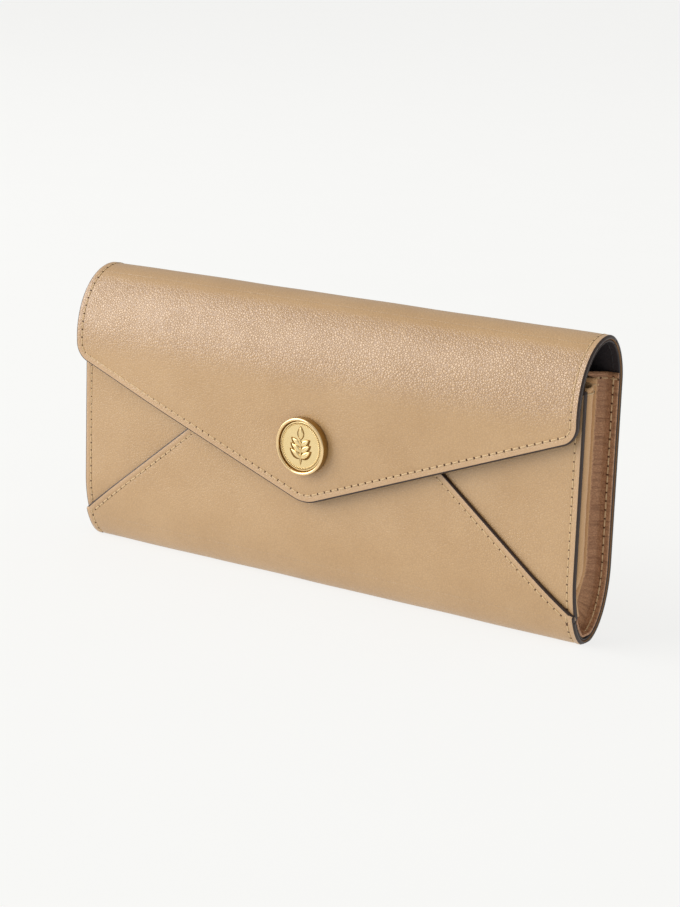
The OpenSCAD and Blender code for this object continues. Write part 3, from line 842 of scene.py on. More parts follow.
def grown(name, marks, vectors, tree, values):
    """The plain mesh that a Geometry Nodes tree grows on a set of marked points."""
    mesh = bpy.data.meshes.new(name + "_marks")
    mesh.from_pydata([tuple(p) for p in np.asarray(marks) * MM], [], [])
    for key, rows in vectors.items():
        store = mesh.attributes.new(key, "FLOAT_VECTOR", "POINT")
        store.data.foreach_set("vector", np.asarray(rows, np.float32).ravel())
    seedling = bpy.data.objects.new(name + "_marks", mesh)
    bpy.context.scene.collection.objects.link(seedling)
    grower = seedling.modifiers.new("grow", "NODES")
    grower.node_group = tree
    for item in tree.interface.items_tree:
        if item.in_out == "INPUT" and item.name in values:
            grower[item.identifier] = values[item.name]
    done = seedling.evaluated_get(bpy.context.evaluated_depsgraph_get())
    result = bpy.data.meshes.new_from_object(done)
    result.name = name
    seedling.modifiers.remove(grower)
    bpy.data.objects.remove(seedling)
    piece = bpy.data.objects.new(name, result)
    bpy.context.scene.collection.objects.link(piece)
    return piece


stitch_nodes = stitch_tree()


def spaced(path):
    """Points evenly along a flat [x, s] path, with the direction of the path at each."""
    path = np.array(path, float)
    length = np.concatenate([[0], np.cumsum(np.hypot(*np.diff(path, axis=0).T))])
    count = max(2, round(length[-1] / stitch_pitch))
    at = (np.arange(count) + 0.5) * length[-1] / count
    points = np.stack([np.interp(at, length, path[:, i]) for i in (0, 1)], 1)
    reach = 0.4 * stitch_pitch
    ahead = np.stack([np.interp(at + reach, length, path[:, i]) for i in (0, 1)], 1)
    behind = np.stack([np.interp(at - reach, length, path[:, i]) for i in (0, 1)], 1)
    return points, ahead - behind


def stitch_values(ply):
    """The stitch tree's settings: lengths in metres, and the thread."""
    return {"Length": stitch_pitch * MM, "Thread width": thread_w * MM,
            "Hole width": hole_w * MM, "Thread": ply, "Hole": painted_hole_shade}


def stitched(name, line, paths, depth, inner=False, span=None, threads=None, lift=None):
    """Rows of stitches on a panel. span keeps those whose s lies between two values."""
    marks, ways, faces = [], [], []
    for path in paths:
        points, along = spaced(path)
        if span is not None:
            keep = (points[:, 1] >= span[0]) & (points[:, 1] < span[1])
            points, along = points[keep], along[keep]
        under = np.full(len(points), depth) - (lift(*points.T) if lift else 0)
        yz = line.at(points[:, 1], under)
        turn = line.direction(points[:, 1])
        out = line.normal(points[:, 1]) * (-1 if inner else 1)
        marks.append(np.stack([points[:, 0], yz[:, 0], yz[:, 1]], 1))
        ways.append(np.stack([along[:, 0], along[:, 1] * turn[:, 0], along[:, 1] * turn[:, 1]], 1))
        faces.append(np.stack([0 * out[:, 0], out[:, 0], out[:, 1]], 1))
    marks, ways, faces = (np.concatenate(a) for a in (marks, ways, faces))
    ways /= np.linalg.norm(ways, axis=1)[:, None]
    keep = marks[:, 2] > 0.4
    return grown(name, marks[keep], {"way": ways[keep], "face": faces[keep]}, stitch_nodes,
                 stitch_values(threads or thread))


def inset_path(corners, radii, sides, inset, open_ends=(0, 0)):
    """The path that runs inside some neighbouring sides of a convex outline."""
    corners = [np.array(c, float) for c in corners]
    count = len(corners)
    lines = []
    for i in sides:
        a, b = corners[i], corners[(i + 1) % count]
        way = (b - a) / np.hypot(*(b - a))
        lines.append((a + inset * np.array([-way[1], way[0]]), way))
    points = [lines[0][0] + lines[0][1] * open_ends[0]]
    for (p, u), (q, v), i in zip(lines, lines[1:], sides[1:]):
        t = ((q - p)[0] * v[1] - (q - p)[1] * v[0]) / (u[0] * v[1] - u[1] * v[0])
        meet = p + t * u
        r = max(radii[i] - inset, 0.01)
        half = math.acos(np.clip(-u @ v, -1, 1)) / 2
        reach = r / math.tan(half)
        start, end = meet - u * reach, meet + v * reach
        for k in np.linspace(0, 1, 12):
            points.append((1 - k) ** 2 * start + 2 * k * (1 - k) * meet + k ** 2 * end)
    last = sides[-1]
    end = corners[(last + 1) % count]
    q, v = lines[-1]
    points.append(q + v * ((end - q) @ v - open_ends[1]))
    return np.array(points)


# ---- the big piece of leather: back, roll and flap ----


def joint_point(line, s):
    """A point on the wallet's outer face, in metres, for the ends of a bend."""
    y, z = line.at(s)
    return (0.0, y * MM, z * MM)


bends = {
    "back": ("shell", "flap_rise", joint_point(shell_line, shell_line.nearest((back_y, 81.0))),
             joint_point(shell_line, s_roll_start)),
    "roll": ("flap_rise", "flap_crest", joint_point(shell_line, s_roll_start),
             joint_point(shell_line, s_flap_start)),
    "flap": ("flap_crest", "flap", joint_point(shell_line, s_flap_start),
             joint_point(shell_line, flap_s(76.0))),
}


def arch_rows(low, high):
    """Rows of vertices, closer together where the leather turns over the top."""
    s, rows = low, []
    curve_start, curve_end = shell_line.nearest((back_y, 76.0)), flap_s(68.0)
    bottom_end = shell_line.nearest((back_y, bottom_z))
    while s < high:
        rows.append(s)
        s += 1.0 if curve_start < s < curve_end or s < bottom_end else 2.4
    return np.array(rows[1:])


def flap_outline(half, start, trim=0.0):
    return [(-half, start), (half, start), (half, flap_s(flap_corner_z) - trim),
            (0, flap_s(flap_tip_z) - 1.2 * trim), (-half, flap_s(flap_corner_z) - trim)]


flap_radii = [0, 0, flap_corner_r, flap_tip_r, flap_corner_r]
flap_painted = [False, True, True, True, True]


bulge_d = 1.2            # how far the closed flap stands off its line
right_drop = 2.5         # how much closer than that its right end lies
bulge_from = 40.0        # it leaves the line over this much of its left end


def soft_step(t):
    """0 to 1 between 0 and 1, level at both ends."""
    t = np.clip(t, 0, 1)
    return t * t * (3 - 2 * t)


def shell_lift(x, s):
    """How far the closed flap stands off its line at a place, in millimetres."""
    bulge = bulge_d * soft_step((x + half_w) / bulge_from) - right_drop * soft_step(x / half_w)
    return soft_step((s - s_crown) / (s_arch_end - s_crown)) * bulge


def strip_outline(half, low, high):
    return [(-half, low), (half, low), (half, high), (-half, high)]


def make_shell(kind, half, depth, thick, materials, trim, sewn):
    """Back, roll and flap in one layer: the outer leather, or the black lining under it."""
    sides = [False, True, False, True]
    back = panel("back_" + kind, shell_line, strip_outline(half, 0, s_roll_start), sides, depth,
                 thick, materials, rows=arch_rows(0, s_roll_start), sewn=sewn)
    roll = panel("roll_" + kind, shell_line, strip_outline(half, s_roll_start, s_flap_start),
                 sides, depth, thick, materials, rows=arch_rows(s_roll_start, s_flap_start),
                 sewn=sewn, lift=shell_lift)
    flap = panel("flap_" + kind + "_panel", shell_line, flap_outline(half, s_flap_start, trim),
                 flap_painted, depth, thick, materials, radii=flap_radii,
                 rows=arch_rows(s_flap_start, flap_s(flap_tip_z)), sewn=sewn, lift=shell_lift)
    for piece, bend in ((back, "back"), (roll, "roll"), (flap, "flap")):
        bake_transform(piece)
    return back, roll, flap


back_skin, roll_skin, flap_skin = make_shell(
    "calf", half_w, 0.0, leather_t, (calf, flesh, edge_paint), 0.0, True)
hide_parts("back_panel")
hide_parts("flap_rise_leather", "flap_crest_leather")
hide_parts("flap_leather")
back_black, roll_black, flap_black = make_shell(
    "black", half_w - 0.2, leather_t, lining_t, (flesh, black_calf, edge_paint), 0.25, False)
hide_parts("back_lining")
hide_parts("flap_rise_lining", "flap_crest_lining")
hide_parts("flap_lining")


def make_shell_stitches():
    """One row that runs up both side edges, over the top and round the flap's point."""
    outline = [(-half_w, 0), (half_w, 0), (half_w, flap_s(flap_corner_z)),
               (0, flap_s(flap_tip_z)), (-half_w, flap_s(flap_corner_z))]
    path = inset_path(outline, flap_radii, (1, 2, 3, 4), stitch_in, (1.2, 1.2))
    spans = {"back": (0, s_roll_start), "roll": (s_roll_start, s_flap_start),
             "flap": (s_flap_start, 1e3)}
    for part, span in spans.items():
        outer = stitched(part + "_stitches", shell_line, [path], groove_d * 0.7, span=span,
                         lift=shell_lift)
        inner = stitched(part + "_stitches_inside", shell_line, [path], leather_t + lining_t,
                         inner=True, span=span, threads=black_thread, lift=shell_lift)
        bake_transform(outer)
        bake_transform(inner)


make_shell_stitches()

# ---- front ----

mouth_s = front_s(mouth_z)


def seam_x(z):
    """How far out the envelope seam is at a height."""
    return half_w - (z - seam_low_z) / seam_rise


def make_front():
    """The envelope front: an overlay between two side panels, on a black lining."""
    heights = [seam_low_z, 12, 14, 16, 18, 20, 22.6, mouth_z]
    right = [(seam_x(z), front_s(z)) for z in heights]
    left = [(-x, s) for x, s in reversed(right)]
    corners = [(-half_w, 0), (half_w, 0)] + right + left
    painted = [False] + [True] * (len(corners) - 1)
    radii = [0, 0, 0.8] + [0] * (len(corners) - 4) + [0.8]
    overlay = panel("overlay_calf", front_line, corners, painted, 0.0, leather_t,
                    (calf, flesh, edge_paint), radii=radii,
                    rows=np.concatenate([np.arange(1.0, front_s(24), 1.0),
                                         np.arange(front_s(24), mouth_s, 2.4)]))
    fitted(overlay, "front", "outer_leather", "front_overlay")
    margin = seam_margin / math.cos(math.atan(seam_rise))
    meet_z = seam_low_z + half_w * seam_rise - margin
    low_x = half_w - (fold[1] - (seam_low_z - margin)) / seam_rise
    for name, turn in (("side_panel_right", 1), ("side_panel_left", -1)):
        corners = [(low_x, 0), (half_w, 0), (half_w, mouth_s), (0.15, mouth_s),
                   (0.15, front_s(meet_z)), (seam_x(22.6 + margin), front_s(22.6)),
                   (seam_x(15 + margin), front_s(15))]
        painted = [False, True, True, False, False, False, False]
        if turn < 0:
            corners = [(-x, s) for x, s in reversed(corners)]
            painted = [False, False, False, True, True, False, False]
        side = panel(name, front_line, corners, painted, leather_t, side_panel_t,
                     (calf, flesh, edge_paint), rows=np.arange(1.0, mouth_s, 1.8))
        fitted(side, "front", "outer_leather", "front_" + name)
    lining = panel("front_lining_calf", front_line,
                   strip_outline(half_w - 0.2, 0, mouth_s - 0.2), [False, True, True, True],
                   leather_t + side_panel_t, lining_t, (flesh, black_calf, edge_paint),
                   sewn=False)
    fitted(lining, "front", "black_lining", "front_lining")
    edge_x = half_w - stitch_in
    corner_s = front_s(seam_low_z)
    seam = []
    for turn in (1, -1):
        low = np.array([seam_x(seam_low_z), seam_low_z])
        high = np.array([seam_x(mouth_z), mouth_z])
        way = (high - low) / np.hypot(*(high - low))
        inward = np.array([-way[1], way[0]])
        row = [low + inward * stitch_in + way * t for t in np.linspace(3.4, 100, 80)]
        seam.append([(turn * x, front_s(z)) for x, z in row])
    sides_low = [[(turn * edge_x, 0.6), (turn * edge_x, corner_s - 0.6)] for turn in (1, -1)]
    low_rows = stitched("overlay_stitches", front_line, seam + sides_low, groove_d * 0.7)
    sides_high = [[(turn * edge_x, corner_s + 2.2), (turn * edge_x, mouth_s - stitch_in)]
                  for turn in (1, -1)]
    high_rows = stitched("side_panel_stitches", front_line, sides_high,
                         leather_t + groove_d * 0.7)
    fitted(low_rows, "front", "outer_leather")
    fitted(high_rows, "front", "outer_leather")


make_front()

# ---- card slots and coin pocket ----


def upright(node, facing, materials, body, top_only=True, sewn=True):
    """A flat leather piece in a CAD node's place, which faces forwards (-1) or back (1)."""
    low, high = corner(node, 0), corner(node, 1)
    y = high[1] if facing > 0 else low[1]
    line = Line([(y, low[2]), (y, (low[2] + high[2]) / 2), (y, high[2])], outward=facing)
    half, length = high[0], high[2] - low[2]
    piece = panel(node + "_calf", line, strip_outline(half, 0, length),
                  [False, not top_only, True, not top_only], 0.0, high[1] - low[1], materials,
                  rows=np.arange(2.5, length, 3.0), sewn=sewn, swell=0.6)
    fitted(piece, body, "inside_leather", node)
    row = [(-half + 2.5, length - stitch_in), (half - 2.5, length - stitch_in)]
    seam = stitched(node + "_stitches", line, [row], groove_d * 0.7)
    fitted(seam, body, "inside_leather")


for level in ("bottom", "middle", "top"):
    upright("front_card_slot_" + level, 1, (smooth_calf_painted_light, flesh, smooth_calf_painted_light), "front")
    upright("back_card_slot_" + level, -1, (smooth_calf_painted_light, flesh, smooth_calf_painted_light), "shell")
upright("pocket_front_wall", -1, (smooth_calf_painted_light, black_calf, edge_paint), "coin_pocket",
        top_only=False)
upright("pocket_back_wall", 1, (smooth_calf_painted_light, black_calf, edge_paint), "coin_pocket",
        top_only=False)


def map_flat(piece):
    """Lays the leather's grain on a small piece, straight through its y or x and its height."""
    mesh = piece.data
    layer = mesh.uv_layers.new(name="leather")
    co = np.array([v.co for v in mesh.vertices])
    index = np.empty(len(mesh.loops), np.int32)
    mesh.loops.foreach_get("vertex_index", index)
    uv = np.stack([co[:, 0] + co[:, 1], co[:, 2] + 0.3 * co[:, 1]], 1)
    layer.data.foreach_set("uv", uv[index].astype(np.float32).ravel())
    add_number(piece, "edge_mm", np.full(len(co), far_mm))


for node in ("pocket_bottom", "pocket_side_left", "pocket_side_right"):
    piece = softened(node + "_calf", [node], 0.2, (smooth_calf_painted_light,))
    map_flat(piece)
    fitted(piece, "coin_pocket", "inside_leather", node)

# ---- gussets ----

spine_y = -0.9
spine_low_z = 9.0
wall_gap = 0.4
REAR_FOLD = [(0.0, 94.8), (0.0, 93.4), (0.0, 92.0), (0.045, 90.5), (0.31, 87.6), (0.48, 85.9),
             (0.565, 85.3), (0.64, 85.8), (0.735, 87.6), (0.87, 91.0), (0.955, 93.4), (1.0, 94.0)]
FRONT_FOLD = [(0.0, 93.6), (0.03, 94.3), (0.1, 94.8), (0.2, 95.0), (0.32, 94.9), (0.44, 94.3),
              (0.52, 92.8), (0.6, 90.4), (0.68, 88.2), (0.78, 89.6), (0.9, 92.6), (1.0, 94.0)]
BOTTOM_DISH = [94.8, 93.4, 92.0, 90.9, 90.5, 90.2, 90.2, 90.3, 90.6, 90.9, 91.1, 91.2]


def through(knots, count):
    """A smooth run of points through some knots."""
    knots = np.array(knots, float)
    padded = np.concatenate([[2 * knots[0] - knots[1]], knots, [2 * knots[-1] - knots[-2]]])
    at = np.linspace(0, len(knots) - 1, count)
    i = np.minimum(at.astype(int), len(knots) - 2)
    t = (at - i)[:, None]
    p0, p1, p2, p3 = padded[i], padded[i + 1], padded[i + 2], padded[i + 3]
    return 0.5 * (2 * p1 + (p2 - p0) * t + (2 * p0 - 5 * p1 + 4 * p2 - p3) * t ** 2
                  + (3 * p1 - p0 - 3 * p2 + p3) * t ** 3)


def gusset_grid(wall, spine, fold, turn, count=56):
    """Lines from a wall to the middle fold, dipping into the valley between them."""
    rows = []
    for (wy, wz), (sy, sz) in zip(wall, spine):
        fade = np.clip((sz - spine_low_z) / 16.0, 0, 1)
        fade = fade * fade * (3 - 2 * fade)
        knots = [(t, x * fade + low * (1 - fade)) for (t, x), low in zip(fold, BOTTOM_DISH)]
        t, x = through(knots, count).T
        pucker = 0.10 * np.sin(wz / 1.9 + 3 * t) * np.sin(wz / 3.1) * np.clip(4 * t * (1 - t), 0, 1)
        rows.append(np.stack([turn * (x + pucker), wy + t * (sy - wy), wz + t * (sz - wz)], 1))
    return np.array(rows)


def row_across(name, grid, normal, row):
    """A row of stitches across a gusset, near its top."""
    points = grid[row] + normal[row] * (gusset_t / 2 + 0.02)
    length = np.concatenate([[0], np.cumsum(np.linalg.norm(np.diff(points, axis=0), axis=1))])
    count = int(length[-1] / stitch_pitch)
    at = (np.arange(count) + 0.5) * length[-1] / count

    def pick(values):
        return np.stack([np.interp(at, length, values[:, i]) for i in range(3)], 1)

    way = np.gradient(points, axis=0)
    return grown(name, pick(points), {"way": pick(way), "face": pick(normal[row])}, stitch_nodes,
                 stitch_values(thread))


def make_gussets():
    """Soft side folds: from the back, in, out to the coin pocket, in, and out to the front."""
    depth = leather_t + lining_t + wall_gap
    top_s = shell_line.nearest((back_y - 0.17, gusset_top_z))
    s = np.linspace(top_s, 0.3, 96)
    rear_wall = shell_line.at(s, np.full(len(s), depth))
    rear_wall[:, 1] = np.maximum(rear_wall[:, 1], depth)
    turn_s = shell_line.nearest((back_y, bottom_z))
    low_s = shell_line.nearest((spine_y, -bottom_flat))
    down = np.clip((turn_s - s) / (turn_s - low_s), 0, 1)
    spine_z = np.where(s >= turn_s, rear_wall[:, 1],
                       bottom_z - (bottom_z - spine_low_z) * down ** 0.8)
    rear_spine = np.stack([np.full(len(s), spine_y), spine_z], 1)
    depth = leather_t + side_panel_t + lining_t + wall_gap
    t = np.linspace(mouth_s + 0.3, 0.3, 72)
    front_wall = front_line.at(t, np.full(len(t), depth))
    front_wall[:, 1] += np.linspace(0.6, 0, len(t))
    front_spine = np.stack([np.full(len(t), spine_y),
                            spine_low_z + (gusset_top_z - spine_low_z)
                            * np.linspace(1, 0, len(t))], 1)
    for side, turn in (("right", 1), ("left", -1)):
        for part, wall, spine, fold_line in (("rear", rear_wall, rear_spine, REAR_FOLD),
                                             ("front", front_wall, front_spine, FRONT_FOLD)):
            grid = gusset_grid(wall, spine, fold_line, turn)
            across = np.linspace(0, 26 if part == "rear" else 20, grid.shape[1])
            along = np.concatenate([[0], np.cumsum(np.linalg.norm(np.diff(wall, axis=0), axis=1))])
            uvs = np.stack(np.meshgrid(across, along), -1)
            # the front sheets take the lighter calf, whose paler colour is painted light for their fold
            skin = gusset_calf if part == "rear" else smooth_calf_painted_light
            piece, normal = grid_sheet(f"{part}_gusset_{side}", grid, gusset_t, (skin,), uvs)
            if normal[..., 0].mean() * turn < 0:
                normal = -normal
            down_2mm = int(np.argmin(abs(along - 2.0)))
            rows = [row_across(f"{part}_gusset_top_stitches_{side}", grid, normal, down_2mm)]
            if part == "rear":
                rows.append(stitched(f"rear_gusset_seam_{side}", shell_line,
                                     [[(turn * 93.2, top_s - 1.5), (turn * 93.2, 1.0)]],
                                     leather_t + lining_t + wall_gap + gusset_t / 2 + 0.02,
                                     inner=True))
                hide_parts(f"gusset_rear_{side}", f"gusset_base_{side}")
            else:
                rows.append(stitched(f"front_gusset_seam_{side}", front_line,
                                     [[(turn * 93.2, 1.0), (turn * 93.2, mouth_s - 1.5)]],
                                     leather_t + side_panel_t + lining_t + wall_gap
                                     + gusset_t / 2 + 0.02, inner=True))
                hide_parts(f"gusset_front_{side}", f"gusset_crest_{side}")
            for item in [piece, *rows]:
                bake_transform(item)


make_gussets()

# ---- zip ----

zip_y = (corner("zip_coil_front", 0)[1] + corner("zip_coil_back", 1)[1]) / 2
coil_low, coil_high = corner("zip_coil_front", 0)[2], corner("zip_coil_front", 1)[2]
coil_half = corner("zip_coil_front", 1)[0]


def make_zip_tapes():
    """Woven tapes: down inside each wall of the coin pocket and in to the coil."""
    for name, turn in (("back", 1), ("front", -1)):
        low, high = corner("zip_tape_" + name, 0), corner("zip_tape_" + name, 1)
        wall = high[1] if turn > 0 else low[1]
        bend = 0.9
        t = np.radians(np.linspace(0, 90, 12))
        curve = np.stack([wall - turn * bend * (1 - np.cos(t)),
                          high[2] - bend + bend * np.sin(t)], 1)
        points = np.concatenate([[(wall, low[2]), (wall, high[2] - 2)], curve,
                                 [(zip_y + turn * 0.7, high[2])]])
        line = Line(points, outward=turn)
        length = line.s[-1]
        piece = panel(f"zip_tape_{name}_woven", line, strip_outline(high[0], 0, length),
                      [False] * 4, 0.0, 0.35, (tape, tape, tape), sewn=False, swell=0.3,
                      rows=np.concatenate([np.arange(2, length - 4, 2), line.s[-14:-1]]))
        fitted(piece, "coin_pocket", "zip_tape", "zip_tape_" + name)


def coil_tree():
    """Geometry Nodes: one turn of a zip coil at every marked point."""
    tree, given = start_tree("zip_coil_turns", "Coil", [
        ("Loop", "Float"), ("Wire", "Float"), ("Metal", "Material")])
    loop = add(tree, "GeometryNodeCurvePrimitiveCircle", {"Resolution": 10, "Radius": given["Loop"]})
    loop = add(tree, "GeometryNodeTransform", {"Geometry": loop.outputs[0],
               "Rotation": (0.0, math.pi / 2, 0.22), "Scale": (1.0, 1.0, 1.0)})
    loop = add(tree, "GeometryNodeTransform", {"Geometry": loop.outputs[0],
               "Scale": (1.0, 1.45, 0.72)})
    ring = add(tree, "GeometryNodeCurvePrimitiveCircle", {"Resolution": 5, "Radius": given["Wire"]})
    wire = add(tree, "GeometryNodeCurveToMesh",
               {"Curve": loop.outputs[0], "Profile Curve": ring.outputs[0]})
    return end_tree(tree, given, wire)


def make_zip():
    """Two rows of coil turns that mesh, metal stops, and a slider with its tab."""
    pitch = 1.3
    tree = coil_tree()
    for name, turn in (("front", -1), ("back", 1)):
        x = np.arange(-coil_half + pitch * (0.5 if turn > 0 else 1.0), coil_half, pitch)
        marks = np.stack([x, np.full(len(x), zip_y + turn * 0.75),
                          np.full(len(x), (coil_low + coil_high) / 2)], 1)
        piece = grown(f"zip_coil_{name}_turns", marks, {}, tree,
                      {"Loop": 0.72 * MM, "Wire": 0.24 * MM, "Metal": brass})
        fitted(piece, "coin_pocket", "zip_coil", "zip_coil_" + name)
    for node, body, radius in (("zip_end_stops", "coin_pocket", 0.3), ("zip_slider", "slider", 0.22),
                               ("zip_pull_tab", "pull_tab", 0.14)):
        piece = softened(node + "_brass", [node], radius, (brass,))
        fitted(piece, body, "brass_fittings", node)


make_zip_tapes()
make_zip()

# ---- medallion and press stud ----

flap_lean = math.atan(flap_slope)
flap_stud_y = -flap_tip_y - flap_slope * (stud_z - flap_tip_z) - shell_lift(0, flap_s(stud_z))
post_r = corner("cap_post", 1)[0]
on_flap = Matrix.Translation((0, flap_stud_y, stud_z)) @ Matrix.Rotation(
    math.pi / 2 + flap_lean, 4, "X")
on_front = Matrix.Translation((0, -front_y, stud_z)) @ Matrix.Rotation(math.pi / 2, 4, "X")
cap_r = corner("medallion_cup", 1)[0]
face_r = cap_r - 1.1


def make_leaf(base, angle, length, width, height):
    """Vertices and faces of one domed leaf with a sunken midrib, its underside flat."""
    rows, columns = 13, 9
    along = np.linspace(0, 1, rows)
    across = np.linspace(-1, 1, columns)
    half = width / 2 * np.sin(math.pi * along ** 0.85) ** 0.9
    top = []
    for t, h in zip(along, half):
        for c in across:
            dome = height * (1 - c * c) ** 0.6 * math.sin(math.pi * t) ** 0.4
            rib = 0.4 * height * math.exp(-(c / 0.16) ** 2) * math.sin(math.pi * t) ** 0.4
            top.append((c * h, t * length, dome - rib))
    top = np.array(top)
    low = top * (1, 1, 0) - (0, 0, 0.1)
    c, s = math.cos(angle), math.sin(angle)
    turn = np.array([[c, s, 0], [-s, c, 0], [0, 0, 1]])
    vertices = np.concatenate([top, low]) @ turn + np.array([base[0], base[1], 0])
    return vertices, sheet_faces(rows, columns)


def make_sprig(floor_h):
    """A plain sprig: a stem, three pairs of leaves and one at the top."""
    leaves = [((0, -5.9), 0.0, 8.6, 0.7), ((0, 2.2), 0.0, 4.1, 2.1)]
    for row in range(3):
        for turn in (-1, 1):
            leaves.append(((0, 2.0 * row - 3.9), turn * math.radians(54), 4.5 - 0.35 * row, 1.9))
    vertices, faces, slots = [], [], []
    for (x, y), angle, length, width in leaves:
        # each raised leaf lies on a larger, nearly flat leaf of dark gold that draws a dark outline
        # round it
        dark_outline = make_leaf((x - 0.28 * math.sin(angle), y - 0.28 * math.cos(angle)), angle,
                             length + 0.56, width + 0.62, 0.06)
        raised = make_leaf((x, y), angle, length, width, 0.45)
        for slot, (points, quads) in ((1, dark_outline), (0, raised)):
            first = sum(len(v) for v in vertices)
            vertices.append(points + (0, 0, floor_h))
            faces += [[i + first for i in q] for q in quads]
            slots += [slot] * len(quads)
    vertices = np.array([on_flap @ Vector(v) for v in np.concatenate(vertices)])
    piece = new_mesh("medallion_sprig", vertices, faces, (gold, gold_shade), slots)
    face_out(piece)
    return piece


def bead_tree():
    """Geometry Nodes: a bead at every marked point."""
    tree, given = start_tree("bead_ring", "Beads", [("Bead radius", "Float"), ("Metal", "Material")])
    bead = add(tree, "GeometryNodeMeshIcoSphere", {"Radius": given["Bead radius"], "Subdivisions": 2})
    return end_tree(tree, given, bead)


def make_medallion():
    """A cupped disc: thick satin side in a darker gold of painted shade, rolled rim in a paler gold of
    painted highlight, painted shade down the inside of the rim, sunk face with a sprig and beads.
    """
    cup = lathe("medallion_disc",
                [(0, 0.02), (cap_r - 0.3, 0.02), (cap_r - 0.05, 0.15), (cap_r, 0.4), (cap_r, 2.3),
                 (cap_r - 0.07, 2.6), (cap_r - 0.24, 2.82), (cap_r - 0.46, 2.9),
                 (cap_r - 0.7, 2.86), (cap_r - 0.88, 2.72), (cap_r - 1.0, 2.45), (face_r, 2.15),
                 (face_r - 0.05, 1.75), (0, 1.7)],
                on_flap, (rim_gold_painted_highlight, side_gold_painted_shade, gold_shade),
                [1, 1, 1, 1, 1, 0, 0, 0, 0, 0, 2, 2, 2], turns=128)
    fitted(cup, "flap", "pale_gold", "medallion_cup")
    # the face carries a thin ring of dark gold near its edge
    face = lathe("medallion_ground",
                 [(0, 1.72), (face_r - 0.12, 1.72), (face_r - 0.1, 1.9), (face_r - 0.35, 2.02),
                  (face_r - 0.6, 1.96), (face_r - 0.8, 1.96), (0, 2.0)],
                 on_flap, (gold, gold_shade), [0, 0, 0, 0, 1, 0], turns=128)
    fitted(face, "flap", "pale_gold", "medallion_face")
    sprig = make_sprig(1.98)
    fitted(sprig, "flap", "pale_gold", "medallion_relief")
    ring = np.linspace(0, 2 * math.pi, 72, endpoint=False)
    marks = np.array([on_flap @ Vector((7.05 * math.cos(t), 7.05 * math.sin(t), 2.0)) for t in ring])
    beads = grown("medallion_beads", marks, {}, bead_tree(), {"Bead radius": 0.22 * MM, "Metal": gold})
    fitted(beads, "flap", "pale_gold")


def make_snap():
    """Press stud: a ring spring socket in the flap and a headed stud on the front."""
    socket_in, socket_out, wall = 2.65, 5.2, 0.45
    depth = leather_t + lining_t
    socket = lathe("snap_socket_brass",
                   [(0, -leather_t), (socket_in + wall, -leather_t), (socket_in + wall, -depth),
                    (socket_out - 0.15, -depth), (socket_out, -depth - 0.12),
                    (socket_out - 0.05, -depth - 0.34), (socket_out - 0.3, -depth - 0.46),
                    (socket_out - 0.9, -depth - 0.5), (socket_out - 1.2, -depth - 0.4),
                    (socket_in + 0.55, -depth - 0.4), (socket_in + 0.2, -depth - 0.5),
                    (socket_in, -depth - 0.42), (socket_in, -leather_t - 0.1), (0, -leather_t - 0.1)],
                   on_flap, (brass,))
    fitted(socket, "flap", "brass_fittings", "snap_socket")
    neck_top = 1.6
    stud = lathe("snap_stud_brass",
                 [(0, -leather_t), (post_r, -leather_t), (post_r, 0.01), (4.45, 0.01), (4.6, 0.08),
                  (4.5, 0.22), (4.2, 0.27), (2.2, 0.25), (1.75, 0.35), (1.7, neck_top),
                  (1.95, neck_top + 0.15), (2.2, neck_top + 0.35), (2.16, neck_top + 0.6),
                  (1.95, neck_top + 0.78), (1.6, neck_top + 0.85), (0, neck_top + 0.85)],
                 on_front, (brass,))
    fitted(stud, "front", "brass_fittings", "snap_stud")
    post = lathe("cap_post_brass",
                 [(0, -leather_t), (post_r, -leather_t), (post_r, 0.02), (0, 0.02)],
                 on_flap, (brass,))
    fitted(post, "flap", "brass_fittings", "cap_post")
    washer = frame["nodes"]["snap_stud_washer"]
    washer.data.materials.clear()
    washer.data.materials.append(brass)


make_medallion()
make_snap()

# ---- floor, light and camera ----


floor_glow = 0.84        # the share of the floor's brightness that no shadow can take


def make_floor():
    """A pale paper sweep that is mostly lit from within, so that shadows on it stay faint."""
    material, tree, shader = start_material("pale_paper_floor", **{"Roughness": 0.9,
                                            "Specular IOR Level": 0.1})
    place = add(tree, "ShaderNodeTexCoord").outputs["Object"]
    fibres = add(tree, "ShaderNodeTexNoise", {"Vector": place, "Scale": 1 / (60 * MM), "Detail": 2})
    tint = add(tree, "ShaderNodeMix", {"Factor": fibres.outputs["Fac"], 6: colour("#6E6E6B"),
                                       7: colour("#71716E")}, data_type="RGBA")
    tree.links.new(tint.outputs[2], shader.inputs["Base Color"])
    shader.inputs["Emission Color"].default_value = colour("#F7F7F6")
    shader.inputs["Emission Strength"].default_value = floor_glow
    reach = 9000.0
    floor = new_mesh("floor", [(-reach, -reach, 0), (reach, -reach, 0), (reach, reach, 0),
                               (-reach, reach, 0)], [(0, 1, 2, 3)], (material,), smooth=False)


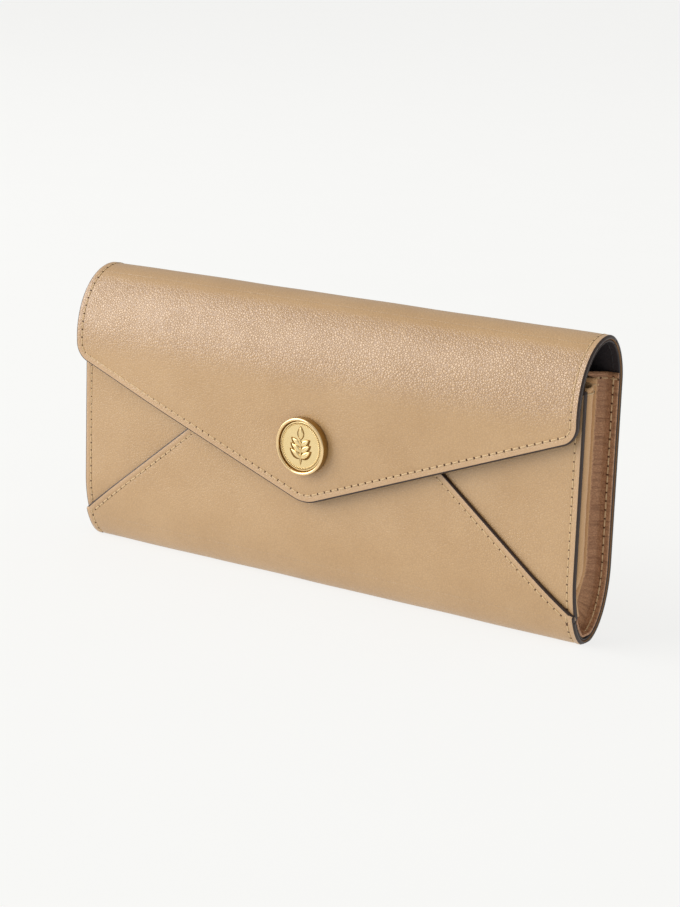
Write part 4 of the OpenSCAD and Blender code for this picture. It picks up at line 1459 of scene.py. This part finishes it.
def aim(item, place, target, roll=0.0):
    """Points a camera or lamp at a target, rolled about its line of sight."""
    back = (Vector(place) - Vector(target)).normalized()
    side = Vector((0, 0, 1)).cross(back).normalized()
    up = back.cross(side)
    turned = side * math.cos(roll) + up * math.sin(roll)
    up = up * math.cos(roll) - side * math.sin(roll)
    item.matrix_world = Matrix((
        (turned.x, up.x, back.x, place[0]), (turned.y, up.y, back.y, place[1]),
        (turned.z, up.z, back.z, place[2]), (0, 0, 0, 1)))


def bearing(azimuth, elevation):
    """Unit vector towards a compass bearing round the wallet, 0 being in front of it."""
    a, e = math.radians(azimuth), math.radians(elevation)
    return Vector((math.sin(a) * math.cos(e), -math.cos(a) * math.cos(e), math.sin(e)))


def softbox(name, azimuth, elevation, distance, size, power):
    """A white soft lamp: its bearing in degrees, distance and size in metres, and watts."""
    lamp = bpy.data.lights.new(name, "AREA")
    lamp.shape = "RECTANGLE"
    lamp.size, lamp.size_y = size
    lamp.energy = power
    item = bpy.data.objects.new(name, lamp)
    bpy.context.scene.collection.objects.link(item)
    target = Vector((0, 0, 0.05))
    aim(item, target + bearing(azimuth, elevation) * distance, target)


def make_light():
    """A near-white room, and one large soft lamp at the front left."""
    world = bpy.data.worlds.new("studio")
    world.use_nodes = True
    world.node_tree.nodes["Background"].inputs["Color"].default_value = colour("#F4F3F1")
    world.node_tree.nodes["Background"].inputs["Strength"].default_value = 0.6
    bpy.context.scene.world = world
    softbox("window", -55, 26, 2.6, (2.85, 2.35), 76)


def make_camera():
    """A long lens, to the front right of the wallet and a little above it."""
    lens = bpy.data.cameras.new("camera")
    lens.lens = 90.502
    lens.sensor_width = 36
    lens.clip_end = 50
    item = bpy.data.objects.new("camera", lens)
    bpy.context.scene.collection.objects.link(item)
    target = Vector((3.33, 0, 43.256)) * MM
    aim(item, target + bearing(34.669, 13.345) * 0.722927, target, math.radians(1.946))
    bpy.context.scene.camera = item


make_floor()
make_light()
make_camera()
bpy.context.scene.view_settings.view_transform = "Standard"
